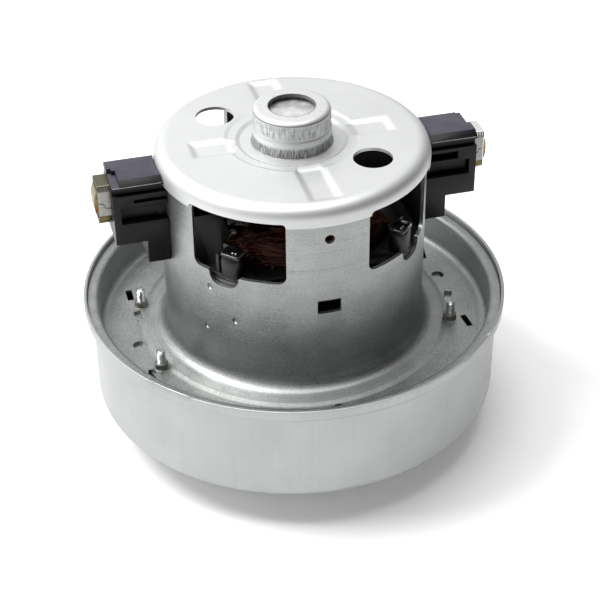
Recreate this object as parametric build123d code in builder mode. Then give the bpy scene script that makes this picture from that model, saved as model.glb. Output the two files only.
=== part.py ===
from build123d import *
from math import atan2, cos, degrees, dist, hypot, radians, sin, sqrt
import os

os.makedirs("parts", exist_ok=True)

# A through-flow vacuum cleaner motor: a universal motor in a drawn steel can,
# standing on its fan housing. The shaft lies on Z, the floor is at zero, and the
# carbon brushes run along X. All lengths are in millimetres.

# Driving dimensions, general fits
overrun = 1.0
seat_gap = 0.02
press_gap = 0.1
running_gap = 0.25
loose_gap = 0.3

# Driving dimensions, fan cover
lip_diameter = 135.0
lip_step = 2.3
cover_sheet = 1.0
intake_depth = 12.0
drum_depth = 31.4
lip_band_height = 3.9
drum_corner_bend = 3.0
eye_diameter = 39.0
eye_rim_height = 3.5
gasket_ring_width = 12.0
drum_foot_width = 10.2
dome_edge_height = 4.0
dome_slope_width = 2.5
dome_rim_gap = 2.5
crimp_count = 4
crimp_angle = -48.0
crimp_width = 14.0
crimp_reach = 1.7
crimp_height = 1.0

# Driving dimensions, motor frame
frame_sheet = 1.2
can_top_rise = 8.4
flange_rim_width = 3.45
flange_rim_gap = 0.25
well_depth = 10.9
root_ring_width = 6.6
root_ring_rise = 0.8
root_bend = 5.0
screw_spread_angle = 20.0
screw_place_share = 0.187
collar_wall = 0.65
collar_height = 1.7

# Driving dimensions, windows of the can
window_angle = 50.9
window_width = 30.0
window_height = 21.4
window_head_gap = 1.2
window_corner = 2.4
post_angle = 45.0
dip_width = 10.0
dip_depth = 4.2
pilot_hole_diameter = 3.0
pilot_hole_drop = 7.8
can_slot_width = 7.2
can_slot_height = 4.6
can_slot_drop = 31.4

# Driving dimensions, holes of the flange well
clip_slot_place_share = 0.527
clip_slot_angle = 22.0
clip_slot_length = 5.6
clip_slot_width = 1.6
inner_slot_place_share = 0.213
inner_slot_angle = -9.5
inner_slot_length = 4.6
inner_slot_width = 2.0
locating_hole_place_share = 0.28
locating_hole_angle = 5.5
locating_hole_diameter = 3.7
drain_hole_place_share = 0.247
drain_hole_diameter = 3.2

# Driving dimensions, end cap
cap_sheet = 1.0
cap_fit_gap = 0.1
cap_rest_gap = 2.6
cap_skirt_depth = 6.3
cap_shoulder_bend = 4.0
cap_notch_rise = 1.4
cap_notch_margin = 0.5
dish_width = 2.4
dish_depth = 0.4
dish_slope_width = 1.2
groove_width = 3.68
groove_depth = 1.2
groove_slope_width = 1.2
boss_band_height = 6.0
boss_band_step = 0.3
boss_step_height = 0.8
boss_rise = 10.7
boss_hole_diameter = 14.3
boss_bend = 1.2
vent_dish_gap = 0.6
vent_angle = -44.0
vent_diameter = 12.0
channel_dish_overlap = 0.7
channel_width = 10.4
channel_depth = 0.9
channel_slope = 1.3
side_channel_rim_gap = 10.4
long_channel_rim_gap = 3.9

# Driving dimensions, ball bearings
bearing_bore = 8.0
bearing_outer_diameter = 22.0
bearing_width = 7.0
bearing_ring_wall = 1.75
bearing_shield_sheet = 0.4
cover_disc_sheet = 0.7
cover_disc_drop = 1.1
wave_washer_wall = 1.6
wave_washer_sheet = 0.4

# Driving dimensions, bearing bracket
bracket_sheet = 1.5
bracket_rim_margin = 3.4
bracket_cup_wall = 1.3
bracket_cup_lip = 2.6
bracket_window_cup_gap = 4.2
bracket_window_rim = 13.1
bracket_arm_width = 9.0
bracket_arm_count = 4
bracket_window_corner = 2.0

# Driving dimensions, diffuser
diffuser_rim_margin = 3.9
diffuser_plate = 1.4
diffuser_gap = 1.2
diffuser_bore = 16.0
diffuser_hub_wall = 1.5
diffuser_hub_gap = 1.2
diffuser_vane_count = 11
diffuser_vane_sheet = 1.5
diffuser_vane_inner = 46.0
diffuser_vane_sweep_angle = 62.0
diffuser_vane_bow_share = 0.42
diffuser_boss_diameter = 7.0

# Driving dimensions, screws through the flange
screw_diameter = 3.0
screw_head_diameter = 5.4
screw_head_height = 2.2
screw_rise = 6.3
screw_tip_taper = 0.6
screw_hole_gap = 0.2

# Driving dimensions, impeller
impeller_sheet = 0.8
impeller_back_sheet = 1.0
impeller_floor_gap = 1.7
impeller_dome_gap = 1.4
impeller_blade_count = 9
impeller_blade_sheet = 0.9
impeller_blade_inner = 40.0
impeller_blade_sweep_angle = 75.0
impeller_blade_bow_share = 0.55
impeller_edge_margin = 0.6
impeller_throat_drop = 1.8
impeller_throat_length = 3.6
impeller_collar_gap = 0.8
hub_washer_diameter = 20.0
hub_washer_thickness = 2.0

# Driving dimensions, shaft
shaft_overhang = 1.7
shaft_tip_clearance = 0.6
shaft_shoulder = 0.5
shaft_chamfer = 0.6
nut_across_flats = 13.0
nut_height = 6.5
spacer_diameter = 12.0

# Driving dimensions, armature
core_well_gap = 8.3
core_length = 28.0
armature_diameter = 41.6
armature_slot_count = 12
armature_slot_opening = 2.4
armature_slot_width = 4.4
armature_slot_depth = 7.6
armature_lip = 1.2
end_winding_height = 6.6
end_winding_margin = 1.2
end_winding_slope = 2.6

# Driving dimensions, commutator
commutator_diameter = 22.8
commutator_length = 17.0
commutator_gap = 1.0
commutator_bar_count = 24
commutator_bar_depth = 3.2
commutator_mica = 0.5
commutator_riser_height = 2.2
commutator_riser_step = 1.1
commutator_hub_overhang = 0.8

# Driving dimensions, field core and its windings
air_gap = 0.5
pole_width = 24.0
pole_shoe_thickness = 3.6
pole_shoe_half_angle = 58.0
coil_shoe_gap = 0.5
coil_thickness = 5.6
coil_half_angle = 56.0
coil_pole_gap = 0.6
coil_end_height = 9.2
coil_foot_height = 7.0
coil_corner = 6.0
coil_wire = 1.0
coil_wire_gap = 0.5
coil_slot_gap = 0.8
coil_loop_count = 5
coil_window_corner = 1.0
cavity_side_gap = 2.3
cavity_end_gap = 0.7
cavity_corner = 6.0
yoke_side_width = 7.0
yoke_end_width = 5.0
yoke_bulge = 4.9
field_core_gap = 0.1
insulator_plate = 1.5
insulator_armature_gap = 1.0
post_wall_gap = 3.6
post_width = 9.6
post_depth = 5.6
post_height = 10.2
post_slot_width = 5.4
post_slot_depth = 1.2
post_slot_drop = 6.0
post_corner = 0.8
field_terminal_thickness = 0.8
field_terminal_width = 5.0
field_terminal_height = 7.6

# Driving dimensions, brush gear
brush_width = 6.3
brush_depth = 11.6
brush_length = 30.0
brush_slide_gap = 0.15
brush_contact_gap = 0.02
tube_wall = 0.5
tube_nose_gap = 2.6
tube_end_reach = 4.0
tube_corner = 0.6
spring_diameter = 5.0
spring_wire = 0.9
clip_sheet = 0.5
clip_gap = 0.05
clip_top_drop = 0.4
holder_width = 16.2
holder_reach = 15.8
holder_top_width = 11.9
holder_top_rise = 9.0
holder_ledge_rise = 7.4
holder_bottom_drop = 12.2
holder_leg_reach = 6.3
holder_leg_length = 7.7
holder_wall_gap = 0.2
holder_neck_wall = 1.5
holder_neck_gap = 4.0
holder_band_rise = 4.4
holder_band_depth = 1.6
holder_band_width = 2.4
side_slot_depth = 3.2
thin_slot_rise = 1.6
thin_slot_width = 1.1
thin_slot_margin = 6.2
wide_slot_drop = 5.3
wide_slot_width = 5.3
wide_slot_margin = 2.2
step_slot_rise = 0.6
step_slot_width = 2.7
step_slot_margin = 6.0
top_notch_width = 2.6
top_notch_depth = 1.3
top_step_depth = 2.4

# Worked out once: radii of the motor, from the armature out to the lip
bearing_radius = bearing_outer_diameter / 2
bore_radius = bearing_bore / 2
shaft_radius = bore_radius - seat_gap
shaft_core_radius = bore_radius + shaft_shoulder
armature_radius = armature_diameter / 2
commutator_radius = commutator_diameter / 2
pole_face_radius = armature_radius + air_gap
shoe_outer_radius = pole_face_radius + pole_shoe_thickness
coil_inner_radius = shoe_outer_radius + coil_shoe_gap
coil_outer_radius = coil_inner_radius + coil_thickness
coil_half_width = coil_outer_radius * sin(radians(coil_half_angle))
coil_window_half = pole_width / 2 + coil_pole_gap
coil_reach = sqrt(coil_outer_radius**2 - coil_window_half**2)
cavity_half_width = coil_half_width + cavity_side_gap
cavity_half_depth = coil_reach + cavity_end_gap
core_half_width = cavity_half_width + yoke_side_width
core_half_depth = cavity_half_depth + yoke_end_width
field_core_radius = core_half_width + yoke_bulge
can_inner_radius = field_core_radius + field_core_gap
can_radius = can_inner_radius + frame_sheet
cap_radius = can_radius + cap_fit_gap + cap_sheet
root_ring_radius = can_radius + root_ring_width
lip_radius = lip_diameter / 2
drum_radius = lip_radius - lip_step
rim_radius = lip_radius - cover_sheet - flange_rim_gap
flange_bore_radius = rim_radius - flange_rim_width
well_width = flange_bore_radius - root_ring_radius
screw_radius = root_ring_radius + screw_place_share * well_width
clip_slot_radius = root_ring_radius + clip_slot_place_share * well_width
inner_slot_radius = root_ring_radius + inner_slot_place_share * well_width
locating_hole_radius = root_ring_radius + locating_hole_place_share * well_width
drain_hole_radius = root_ring_radius + drain_hole_place_share * well_width
dome_foot_radius = drum_radius - drum_foot_width
dome_edge_radius = dome_foot_radius - dome_slope_width
impeller_radius = dome_edge_radius - dome_rim_gap
eye_radius = eye_diameter / 2
throat_radius = eye_radius - impeller_collar_gap - impeller_sheet
boss_radius = bearing_radius + seat_gap + cap_sheet
band_radius = boss_radius + boss_band_step
groove_radius = band_radius + groove_width
dish_radius = groove_radius + groove_slope_width + dish_width
vent_radius = vent_diameter / 2
vent_circle_radius = dish_radius + dish_slope_width + vent_dish_gap + vent_radius
tube_start_radius = commutator_radius + tube_nose_gap
neck_start_radius = tube_start_radius + holder_neck_gap
brush_outer_radius = commutator_radius + brush_length
holder_leg_radius = can_radius + holder_leg_reach
holder_end_radius = can_radius + holder_reach
tube_end_radius = holder_end_radius + tube_end_reach

# Worked out once: levels, from the floor up
shoulder_height = intake_depth + drum_depth
lip_top_height = shoulder_height + lip_band_height
rim_seat_height = shoulder_height + cover_sheet
rim_top_height = rim_seat_height + frame_sheet
well_height = rim_top_height - well_depth
well_underside = well_height - frame_sheet
bracket_bottom = well_underside - bracket_sheet
lower_bearing_bottom = bracket_bottom - bearing_width
cup_bottom = lower_bearing_bottom - bracket_cup_wall
impeller_bottom = intake_depth + cover_sheet + impeller_floor_gap
impeller_top = impeller_bottom + impeller_back_sheet
blade_bottom = dome_edge_height + cover_sheet + impeller_dome_gap + impeller_sheet
throat_height = blade_bottom - impeller_throat_drop
core_bottom_height = well_height + core_well_gap
core_top_height = core_bottom_height + core_length
core_middle = core_bottom_height + core_length / 2
winding_top = core_top_height + press_gap + end_winding_height
commutator_bottom = winding_top + commutator_gap + commutator_hub_overhang
brush_height = commutator_bottom + commutator_length / 2
can_top_height = brush_height + can_top_rise
cap_underside = can_top_height + cap_rest_gap
cap_top_height = cap_underside + cap_sheet
cap_skirt_height = cap_top_height - cap_skirt_depth
boss_top_height = cap_top_height + boss_rise
boss_underside = boss_top_height - cap_sheet
disc_bottom = boss_underside - cover_disc_drop - cover_disc_sheet
upper_bearing_bottom = disc_bottom - bearing_width
window_head_height = can_top_height - window_head_gap
window_sill_height = window_head_height - window_height
holder_top_height = brush_height + holder_top_rise
holder_ledge_height = brush_height + holder_ledge_rise
holder_bottom_height = brush_height - holder_bottom_drop
holder_leg_height = holder_bottom_height - holder_leg_length

# Worked out once: the brush tube's section and the places round the axis
tube_inner_width = brush_width + 2 * brush_slide_gap
tube_inner_depth = brush_depth + 2 * brush_slide_gap
tube_width = tube_inner_width + 2 * tube_wall
tube_depth = tube_inner_depth + 2 * tube_wall
neck_width = tube_width + 2 * (seat_gap + holder_neck_wall)
neck_depth = tube_depth + 2 * (seat_gap + holder_neck_wall)
neck_top_height = brush_height + neck_depth / 2
neck_bottom_height = brush_height - neck_depth / 2
brush_angles = {"right": 0, "left": 180}
field_angles = {"front": -90, "rear": 90}
window_angles = [window_angle, 180 - window_angle, window_angle - 180, -window_angle]
post_angles = [post_angle, 180 - post_angle, post_angle - 180, -post_angle]
screw_angles = [base + side * screw_spread_angle for base in (0, 180) for side in (-1, 1)]


def polar(radius, azimuth, height=0):
    angle = radians(azimuth)
    return (radius * cos(angle), radius * sin(angle), height)


def radial_plane(azimuth, radius=0, height=0):
    """Faces outwards: x runs round the axis, y runs up."""
    angle = radians(azimuth)
    return Plane(
        origin=polar(radius, azimuth, height),
        x_dir=(-sin(angle), cos(angle), 0),
        z_dir=(cos(angle), sin(angle), 0),
    )


def side_plane(azimuth):
    """Holds the axis: x runs outwards, y runs up."""
    angle = radians(azimuth)
    return Plane(
        origin=(0, 0, 0),
        x_dir=(cos(angle), sin(angle), 0),
        z_dir=(sin(angle), -cos(angle), 0),
    )


def sheet_outline(points, bends, sheet):
    """Closed outline of a bent sheet that lies on the left of the given line, with its bends."""
    steps = [(b[0] - a[0], b[1] - a[1]) for a, b in zip(points, points[1:])]
    normals = [(-dy / hypot(dx, dy), dx / hypot(dx, dy)) for dx, dy in steps]
    corners = [(points[0][0] + sheet * normals[0][0], points[0][1] + sheet * normals[0][1])]
    other_bends = []
    for point, before, after, bend in zip(points[1:], normals, normals[1:], bends):
        spread = 1 + before[0] * after[0] + before[1] * after[1]
        across = sheet * (before[0] + after[0]) / spread
        along = sheet * (before[1] + after[1]) / spread
        corners.append((point[0] + across, point[1] + along))
        turns_left = before[0] * after[1] - before[1] * after[0] > 0
        other_bend = max(bend - sheet, 0) if turns_left else bend + sheet
        other_bends.append(other_bend if bend else 0)
    last = points[-1]
    corners.append((last[0] + sheet * normals[-1][0], last[1] + sheet * normals[-1][1]))
    return points + corners[::-1], [0, *bends, 0, 0, *other_bends[::-1], 0]


def ring_outline(inner, outer, bottom, top):
    """Corners of the half section of a plain ring."""
    return [(inner, bottom), (outer, bottom), (outer, top), (inner, top)]


# Fan cover: one drawn steel drum, with a stepped dome round the intake eye
cover_line = [
    (eye_radius, eye_rim_height),
    (eye_radius, 0),
    (eye_radius + gasket_ring_width, 0),
    (dome_edge_radius, dome_edge_height),
    (dome_foot_radius, intake_depth),
    (drum_radius, intake_depth),
    (drum_radius, shoulder_height),
    (lip_radius, shoulder_height),
    (lip_radius, lip_top_height),
]
cover_bends = [0, 0, 0, 0, drum_corner_bend, 0, 0]
with BuildPart() as fan_cover:
    corners, bends = sheet_outline(cover_line, cover_bends, cover_sheet)
    with BuildSketch(Plane.XZ):
        with BuildLine():
            FilletPolyline(*corners, radius=bends, close=True)
        make_face()
    revolve(axis=Axis.Z)
    # The lip is staked inwards over the frame's rim in a few places
    crimp_span = degrees(crimp_width / lip_radius)
    for crimp in range(crimp_count):
        azimuth = crimp_angle + crimp * 360 / crimp_count - crimp_span / 2
        with BuildSketch(side_plane(azimuth)):
            with BuildLine():
                Polyline(
                    (lip_radius - cover_sheet / 2, rim_top_height + press_gap),
                    (lip_radius - cover_sheet / 2, lip_top_height),
                    (lip_radius - cover_sheet, lip_top_height),
                    (lip_radius - cover_sheet - crimp_reach, rim_top_height + crimp_height),
                    (lip_radius - cover_sheet - crimp_reach, rim_top_height + press_gap),
                    close=True,
                )
            make_face()
        revolve(axis=Axis.Z, revolution_arc=crimp_span)
fan_cover.part.label = "fan_cover"
export_step(fan_cover.part, "parts/fan_cover.step")


# Motor frame: can and mounting flange drawn from one galvanised sheet
frame_line = [
    (rim_radius, rim_top_height),
    (flange_bore_radius, rim_top_height),
    (flange_bore_radius, well_height),
    (root_ring_radius + root_ring_rise, well_height),
    (root_ring_radius, well_height + root_ring_rise),
    (can_radius, well_height + root_ring_rise),
    (can_radius, can_top_height),
]
frame_bends = [0, 0, 0, 0, root_bend]
with BuildPart() as motor_frame:
    corners, bends = sheet_outline(frame_line, frame_bends, frame_sheet)
    with BuildSketch(Plane.XZ):
        with BuildLine():
            FilletPolyline(*corners, radius=bends, close=True)
        make_face()
    revolve(axis=Axis.Z)
    # Extruded collars that the flange screws cut their thread in
    with BuildSketch(Plane.XY.offset(well_height)):
        for azimuth in screw_angles:
            with Locations(polar(screw_radius, azimuth)):
                Circle(screw_diameter / 2 + collar_wall)
    extrude(amount=collar_height)
    with BuildSketch(Plane.XY.offset(well_underside - overrun)):
        for azimuth in screw_angles:
            with Locations(polar(screw_radius, azimuth)):
                Circle(screw_diameter / 2 + seat_gap)
        for base in (0, 180):
            with Locations(polar(locating_hole_radius, base + locating_hole_angle)):
                Circle(locating_hole_diameter / 2)
            with Locations(polar(drain_hole_radius, base + 90)):
                Circle(drain_hole_diameter / 2)
    extrude(amount=well_depth, mode=Mode.SUBTRACT)
    # Slots in the well: two for the diffuser's clips and one spare at each brush
    with BuildSketch(Plane.XY.offset(well_underside - overrun)):
        for base in (0, 180):
            for side in (-1, 1):
                azimuth = base + side * clip_slot_angle
                with Locations(Location(polar(clip_slot_radius, azimuth), (0, 0, azimuth))):
                    Rectangle(clip_slot_width, clip_slot_length)
            azimuth = base + inner_slot_angle
            with Locations(Location(polar(inner_slot_radius, azimuth), (0, 0, azimuth))):
                Rectangle(inner_slot_width, inner_slot_length)
    extrude(amount=frame_sheet + 2 * overrun, mode=Mode.SUBTRACT)
    # Four air windows, each dipped where a terminal post stands behind it
    for azimuth in window_angles:
        toward_brush = 1 if abs(azimuth) > 90 else -1
        lean = toward_brush * (1 if azimuth > 0 else -1)
        dip_offset = lean * can_radius * sin(radians(window_angle - post_angle))
        with BuildSketch(radial_plane(azimuth)):
            with BuildLine():
                FilletPolyline(
                    (-window_width / 2, window_sill_height),
                    (window_width / 2, window_sill_height),
                    (window_width / 2, window_head_height),
                    (-window_width / 2, window_head_height),
                    radius=window_corner,
                    close=True,
                )
            make_face()
            with Locations((dip_offset, window_sill_height + dip_width / 2 - dip_depth)):
                Circle(dip_width / 2)
        extrude(amount=can_radius + overrun, mode=Mode.SUBTRACT)
    # Openings for the brush tubes, open upwards under the cap
    for azimuth in brush_angles.values():
        with BuildSketch(radial_plane(azimuth)):
            with Locations((0, neck_bottom_height - loose_gap)):
                Rectangle(
                    neck_width + 2 * loose_gap,
                    can_top_height - neck_bottom_height + loose_gap + overrun,
                    align=(Align.CENTER, Align.MIN),
                )
        extrude(amount=can_radius + overrun, mode=Mode.SUBTRACT)
    # A pilot hole and a slot between the windows, front and rear
    for azimuth in field_angles.values():
        with BuildSketch(radial_plane(azimuth)):
            with Locations((0, can_top_height - pilot_hole_drop)):
                Circle(pilot_hole_diameter / 2)
            with Locations((0, can_top_height - can_slot_drop)):
                Rectangle(can_slot_width, can_slot_height)
        extrude(amount=can_radius + overrun, mode=Mode.SUBTRACT)
motor_frame.part.label = "motor_frame"
export_step(motor_frame.part, "parts/motor_frame.step")


# End cap: pressed lid with the upper bearing's boss and stiffening channels
groove_floor = cap_top_height - dish_depth - groove_depth
band_top_height = groove_floor + boss_band_height
cap_line = [
    (cap_radius, cap_skirt_height),
    (cap_radius, cap_top_height),
    (dish_radius + dish_slope_width, cap_top_height),
    (dish_radius, cap_top_height - dish_depth),
    (groove_radius + groove_slope_width, cap_top_height - dish_depth),
    (groove_radius, groove_floor),
    (band_radius, groove_floor),
    (band_radius, band_top_height),
    (boss_radius, band_top_height + boss_step_height),
    (boss_radius, boss_top_height),
    (boss_hole_diameter / 2, boss_top_height),
]
cap_bends = [cap_shoulder_bend, 0, 0, 0, 0, 0, 0, 0, boss_bend]
with BuildPart() as end_cap:
    corners, bends = sheet_outline(cap_line, cap_bends, cap_sheet)
    with BuildSketch(Plane.XZ):
        with BuildLine():
            FilletPolyline(*corners, radius=bends, close=True)
        make_face()
    revolve(axis=Axis.Z)
    # Each channel is pressed down: its back stands below the sheet
    channel_start = dish_radius - channel_dish_overlap
    for azimuth, rim_gap in (
        (0, side_channel_rim_gap),
        (90, long_channel_rim_gap),
        (180, side_channel_rim_gap),
        (-90, long_channel_rim_gap),
    ):
        length = cap_radius - rim_gap - channel_start
        middle = polar(channel_start + length / 2, azimuth)
        with BuildSketch(Plane.XY.offset(cap_underside)):
            with Locations(Location(middle, (0, 0, azimuth))):
                RectangleRounded(length, channel_width, channel_slope)
        extrude(amount=-channel_depth)
        with BuildSketch(Plane.XY.offset(cap_top_height)):
            with Locations(Location(middle, (0, 0, azimuth))):
                RectangleRounded(length - cap_sheet, channel_width - cap_sheet, channel_slope)
        extrude(
            amount=-channel_depth,
            taper=degrees(atan2(channel_slope, channel_depth)),
            mode=Mode.SUBTRACT,
        )
    with BuildSketch(Plane.XY.offset(cap_underside - overrun)):
        for azimuth in (vent_angle, vent_angle + 180):
            with Locations(polar(vent_circle_radius, azimuth)):
                Circle(vent_radius)
    extrude(amount=cap_sheet + 2 * overrun, mode=Mode.SUBTRACT)
    # The skirt is cut back over each air window
    notch_half = window_width / 2 + cap_notch_margin
    for azimuth in window_angles:
        with BuildSketch(radial_plane(azimuth, can_inner_radius)):
            with BuildLine():
                FilletPolyline(
                    (-notch_half, cap_skirt_height - overrun),
                    (-notch_half, cap_skirt_height + cap_notch_rise),
                    (notch_half, cap_skirt_height + cap_notch_rise),
                    (notch_half, cap_skirt_height - overrun),
                    radius=cap_notch_rise,
                )
                Line(
                    (notch_half, cap_skirt_height - overrun),
                    (-notch_half, cap_skirt_height - overrun),
                )
            make_face()
        extrude(amount=cap_radius, mode=Mode.SUBTRACT)
    # It is also cut back over each brush holder's neck
    for azimuth in brush_angles.values():
        with BuildSketch(radial_plane(azimuth, can_inner_radius)):
            with Locations((0, neck_top_height + loose_gap)):
                Rectangle(
                    neck_width + 2 * loose_gap,
                    neck_top_height - cap_skirt_height + 2 * overrun,
                    align=(Align.CENTER, Align.MAX),
                )
        extrude(amount=cap_radius, mode=Mode.SUBTRACT)
end_cap.part.label = "end_cap"
export_step(end_cap.part, "parts/end_cap.step")


# Cover disc and wave washer that load the upper bearing inside the boss
with BuildPart() as bearing_cover_disc:
    with BuildSketch(Plane.XY.offset(disc_bottom)):
        Circle(bearing_radius - press_gap)
    extrude(amount=cover_disc_sheet)
bearing_cover_disc.part.label = "bearing_cover_disc"
export_step(bearing_cover_disc.part, "parts/bearing_cover_disc.step")

with BuildPart() as wave_washer:
    washer_outer = bearing_radius - 2 * press_gap
    with BuildSketch(Plane.XZ):
        with BuildLine():
            Polyline(
                (washer_outer - wave_washer_wall, disc_bottom + cover_disc_sheet),
                (washer_outer, boss_underside - wave_washer_sheet),
                (washer_outer, boss_underside),
                (washer_outer - wave_washer_wall, disc_bottom + cover_disc_sheet + wave_washer_sheet),
                close=True,
            )
        make_face()
    revolve(axis=Axis.Z)
wave_washer.part.label = "wave_washer"
export_step(wave_washer.part, "parts/wave_washer.step")


# Deep-groove ball bearings, one in the cap's boss and one in the bracket's cup
for place, bottom in (("upper", upper_bearing_bottom), ("lower", lower_bearing_bottom)):
    top = bottom + bearing_width
    with BuildPart() as outer_ring:
        with BuildSketch(Plane.XZ):
            with BuildLine():
                Polyline(
                    *ring_outline(bearing_radius - bearing_ring_wall, bearing_radius, bottom, top),
                    close=True,
                )
            make_face()
        revolve(axis=Axis.Z)
    outer_ring.part.label = f"{place}_bearing_outer_ring"
    export_step(outer_ring.part, f"parts/{place}_bearing_outer_ring.step")

    with BuildPart() as inner_ring:
        with BuildSketch(Plane.XZ):
            with BuildLine():
                Polyline(
                    *ring_outline(bore_radius, bore_radius + bearing_ring_wall, bottom, top),
                    close=True,
                )
            make_face()
        revolve(axis=Axis.Z)
    inner_ring.part.label = f"{place}_bearing_inner_ring"
    export_step(inner_ring.part, f"parts/{place}_bearing_inner_ring.step")

    with BuildPart() as shields:
        with BuildSketch(Plane.XZ):
            for low in (bottom, top - bearing_shield_sheet):
                inner_edge = bore_radius + bearing_ring_wall + running_gap
                outer_edge = bearing_radius - bearing_ring_wall
                with BuildLine():
                    Polyline(
                        *ring_outline(inner_edge, outer_edge, low, low + bearing_shield_sheet),
                        close=True,
                    )
                make_face()
        revolve(axis=Axis.Z)
    shields.part.label = f"{place}_bearing_shields"
    export_step(shields.part, f"parts/{place}_bearing_shields.step")


# Bearing bracket: a plate with the lower bearing's cup, held down by the screws
with BuildPart() as lower_bracket:
    cup_radius = bearing_radius + seat_gap + bracket_cup_wall
    bracket_radius = screw_radius + bracket_rim_margin
    cup_outline = [
        (cup_radius - bracket_cup_lip, cup_bottom),
        (cup_radius, cup_bottom),
        (cup_radius, bracket_bottom),
        (bracket_radius, bracket_bottom),
        (bracket_radius, bracket_bottom + bracket_sheet),
        (bearing_radius + seat_gap, bracket_bottom + bracket_sheet),
        (bearing_radius + seat_gap, lower_bearing_bottom),
        (cup_radius - bracket_cup_lip, lower_bearing_bottom),
    ]
    with BuildSketch(Plane.XZ):
        with BuildLine():
            Polyline(*cup_outline, close=True)
        make_face()
    revolve(axis=Axis.Z)
    # Air passes through four windows between the bracket's arms
    with BuildSketch(Plane.XY.offset(bracket_bottom)):
        Circle(screw_radius - bracket_window_rim)
        Circle(cup_radius + bracket_window_cup_gap, mode=Mode.SUBTRACT)
        with PolarLocations(0, bracket_arm_count, start_angle=post_angle):
            Rectangle(
                bracket_radius,
                bracket_arm_width,
                align=(Align.MIN, Align.CENTER),
                mode=Mode.SUBTRACT,
            )
        fillet(vertices(), bracket_window_corner)
    extrude(amount=bracket_sheet, mode=Mode.SUBTRACT)
    with BuildSketch(Plane.XY.offset(bracket_bottom)):
        for azimuth in screw_angles:
            with Locations(polar(screw_radius, azimuth)):
                Circle(screw_diameter / 2 + screw_hole_gap)
        for base in (0, 180):
            azimuth = base + inner_slot_angle
            with Locations(Location(polar(inner_slot_radius, azimuth), (0, 0, azimuth))):
                Rectangle(inner_slot_width, inner_slot_length)
            with Locations(polar(drain_hole_radius, base + 90)):
                Circle(drain_hole_diameter / 2)
    extrude(amount=bracket_sheet, mode=Mode.SUBTRACT)
lower_bracket.part.label = "lower_bracket"
export_step(lower_bracket.part, "parts/lower_bracket.step")


# Diffuser: moulded plate with curved vanes that lead the air back to the axis
plate_bottom = impeller_top + diffuser_gap
diffuser_top = bracket_bottom - press_gap
diffuser_radius = screw_radius + diffuser_boss_diameter / 2 + diffuser_rim_margin
with BuildPart() as diffuser:
    with BuildSketch(Plane.XY.offset(plate_bottom)):
        Circle(diffuser_radius)
    extrude(amount=diffuser_plate)
    with BuildSketch(Plane.XY.offset(plate_bottom)):
        Circle(diffuser_bore / 2 + diffuser_hub_wall)
    extrude(amount=cup_bottom - diffuser_hub_gap - plate_bottom)
    outer = diffuser_radius - diffuser_vane_sheet
    inner = diffuser_vane_inner / 2
    for vane in range(diffuser_vane_count):
        azimuth = vane * 360 / diffuser_vane_count
        bow_azimuth = azimuth + diffuser_vane_sweep_angle * diffuser_vane_bow_share
        with BuildSketch(Plane.XY.offset(plate_bottom)):
            with BuildLine():
                ThreePointArc(
                    polar(outer, azimuth),
                    polar((outer + inner) / 2, bow_azimuth),
                    polar(inner, azimuth + diffuser_vane_sweep_angle),
                )
            trace(line_width=diffuser_vane_sheet)
        extrude(amount=diffuser_top - plate_bottom)
    with BuildSketch(Plane.XY.offset(plate_bottom)):
        for azimuth in screw_angles:
            with Locations(polar(screw_radius, azimuth)):
                Circle(diffuser_boss_diameter / 2)
    extrude(amount=diffuser_top - plate_bottom)
    with BuildSketch(Plane.XY.offset(plate_bottom)):
        Circle(diffuser_bore / 2)
        for azimuth in screw_angles:
            with Locations(polar(screw_radius, azimuth)):
                Circle(screw_diameter / 2 + screw_hole_gap)
    extrude(amount=diffuser_top - plate_bottom, mode=Mode.SUBTRACT)
    with BuildSketch(Plane.XY.offset(plate_bottom)):
        for azimuth in screw_angles:
            with Locations(polar(screw_radius, azimuth)):
                Circle(screw_head_diameter / 2 + screw_hole_gap)
    extrude(amount=screw_head_height, mode=Mode.SUBTRACT)
diffuser.part.label = "diffuser"
export_step(diffuser.part, "parts/diffuser.step")


# Flange screws: four alike, up through diffuser, bracket and flange
with BuildPart() as flange_screws:
    screw_tip_height = well_height + screw_rise
    with BuildSketch(Plane.XY.offset(plate_bottom)):
        for azimuth in screw_angles:
            with Locations(polar(screw_radius, azimuth)):
                Circle(screw_head_diameter / 2)
    extrude(amount=screw_head_height)
    with BuildSketch(Plane.XY.offset(plate_bottom)):
        for azimuth in screw_angles:
            with Locations(polar(screw_radius, azimuth)):
                Circle(screw_diameter / 2)
    extrude(amount=screw_tip_height - plate_bottom)
    chamfer(faces().sort_by(Axis.Z)[-4:].edges(), screw_tip_taper)
flange_screws.part.label = "flange_screws"
export_step(flange_screws.part, "parts/flange_screws.step")


# Impeller: riveted from a back disc, a shroud and backward-curved blades
with BuildPart() as impeller_back_disc:
    with BuildSketch(Plane.XY.offset(impeller_bottom)):
        Circle(impeller_radius)
        Circle(bore_radius, mode=Mode.SUBTRACT)
    extrude(amount=impeller_back_sheet)
impeller_back_disc.part.label = "impeller_back_disc"
export_step(impeller_back_disc.part, "parts/impeller_back_disc.step")

shroud_line = [
    (impeller_radius, blade_bottom),
    (throat_radius, throat_height),
    (throat_radius, throat_height - impeller_throat_length),
]
with BuildPart() as impeller_shroud:
    corners, bends = sheet_outline(shroud_line, [0], impeller_sheet)
    with BuildSketch(Plane.XZ):
        with BuildLine():
            Polyline(*corners, close=True)
        make_face()
    revolve(axis=Axis.Z)
impeller_shroud.part.label = "impeller_shroud"
export_step(impeller_shroud.part, "parts/impeller_shroud.step")

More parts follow.
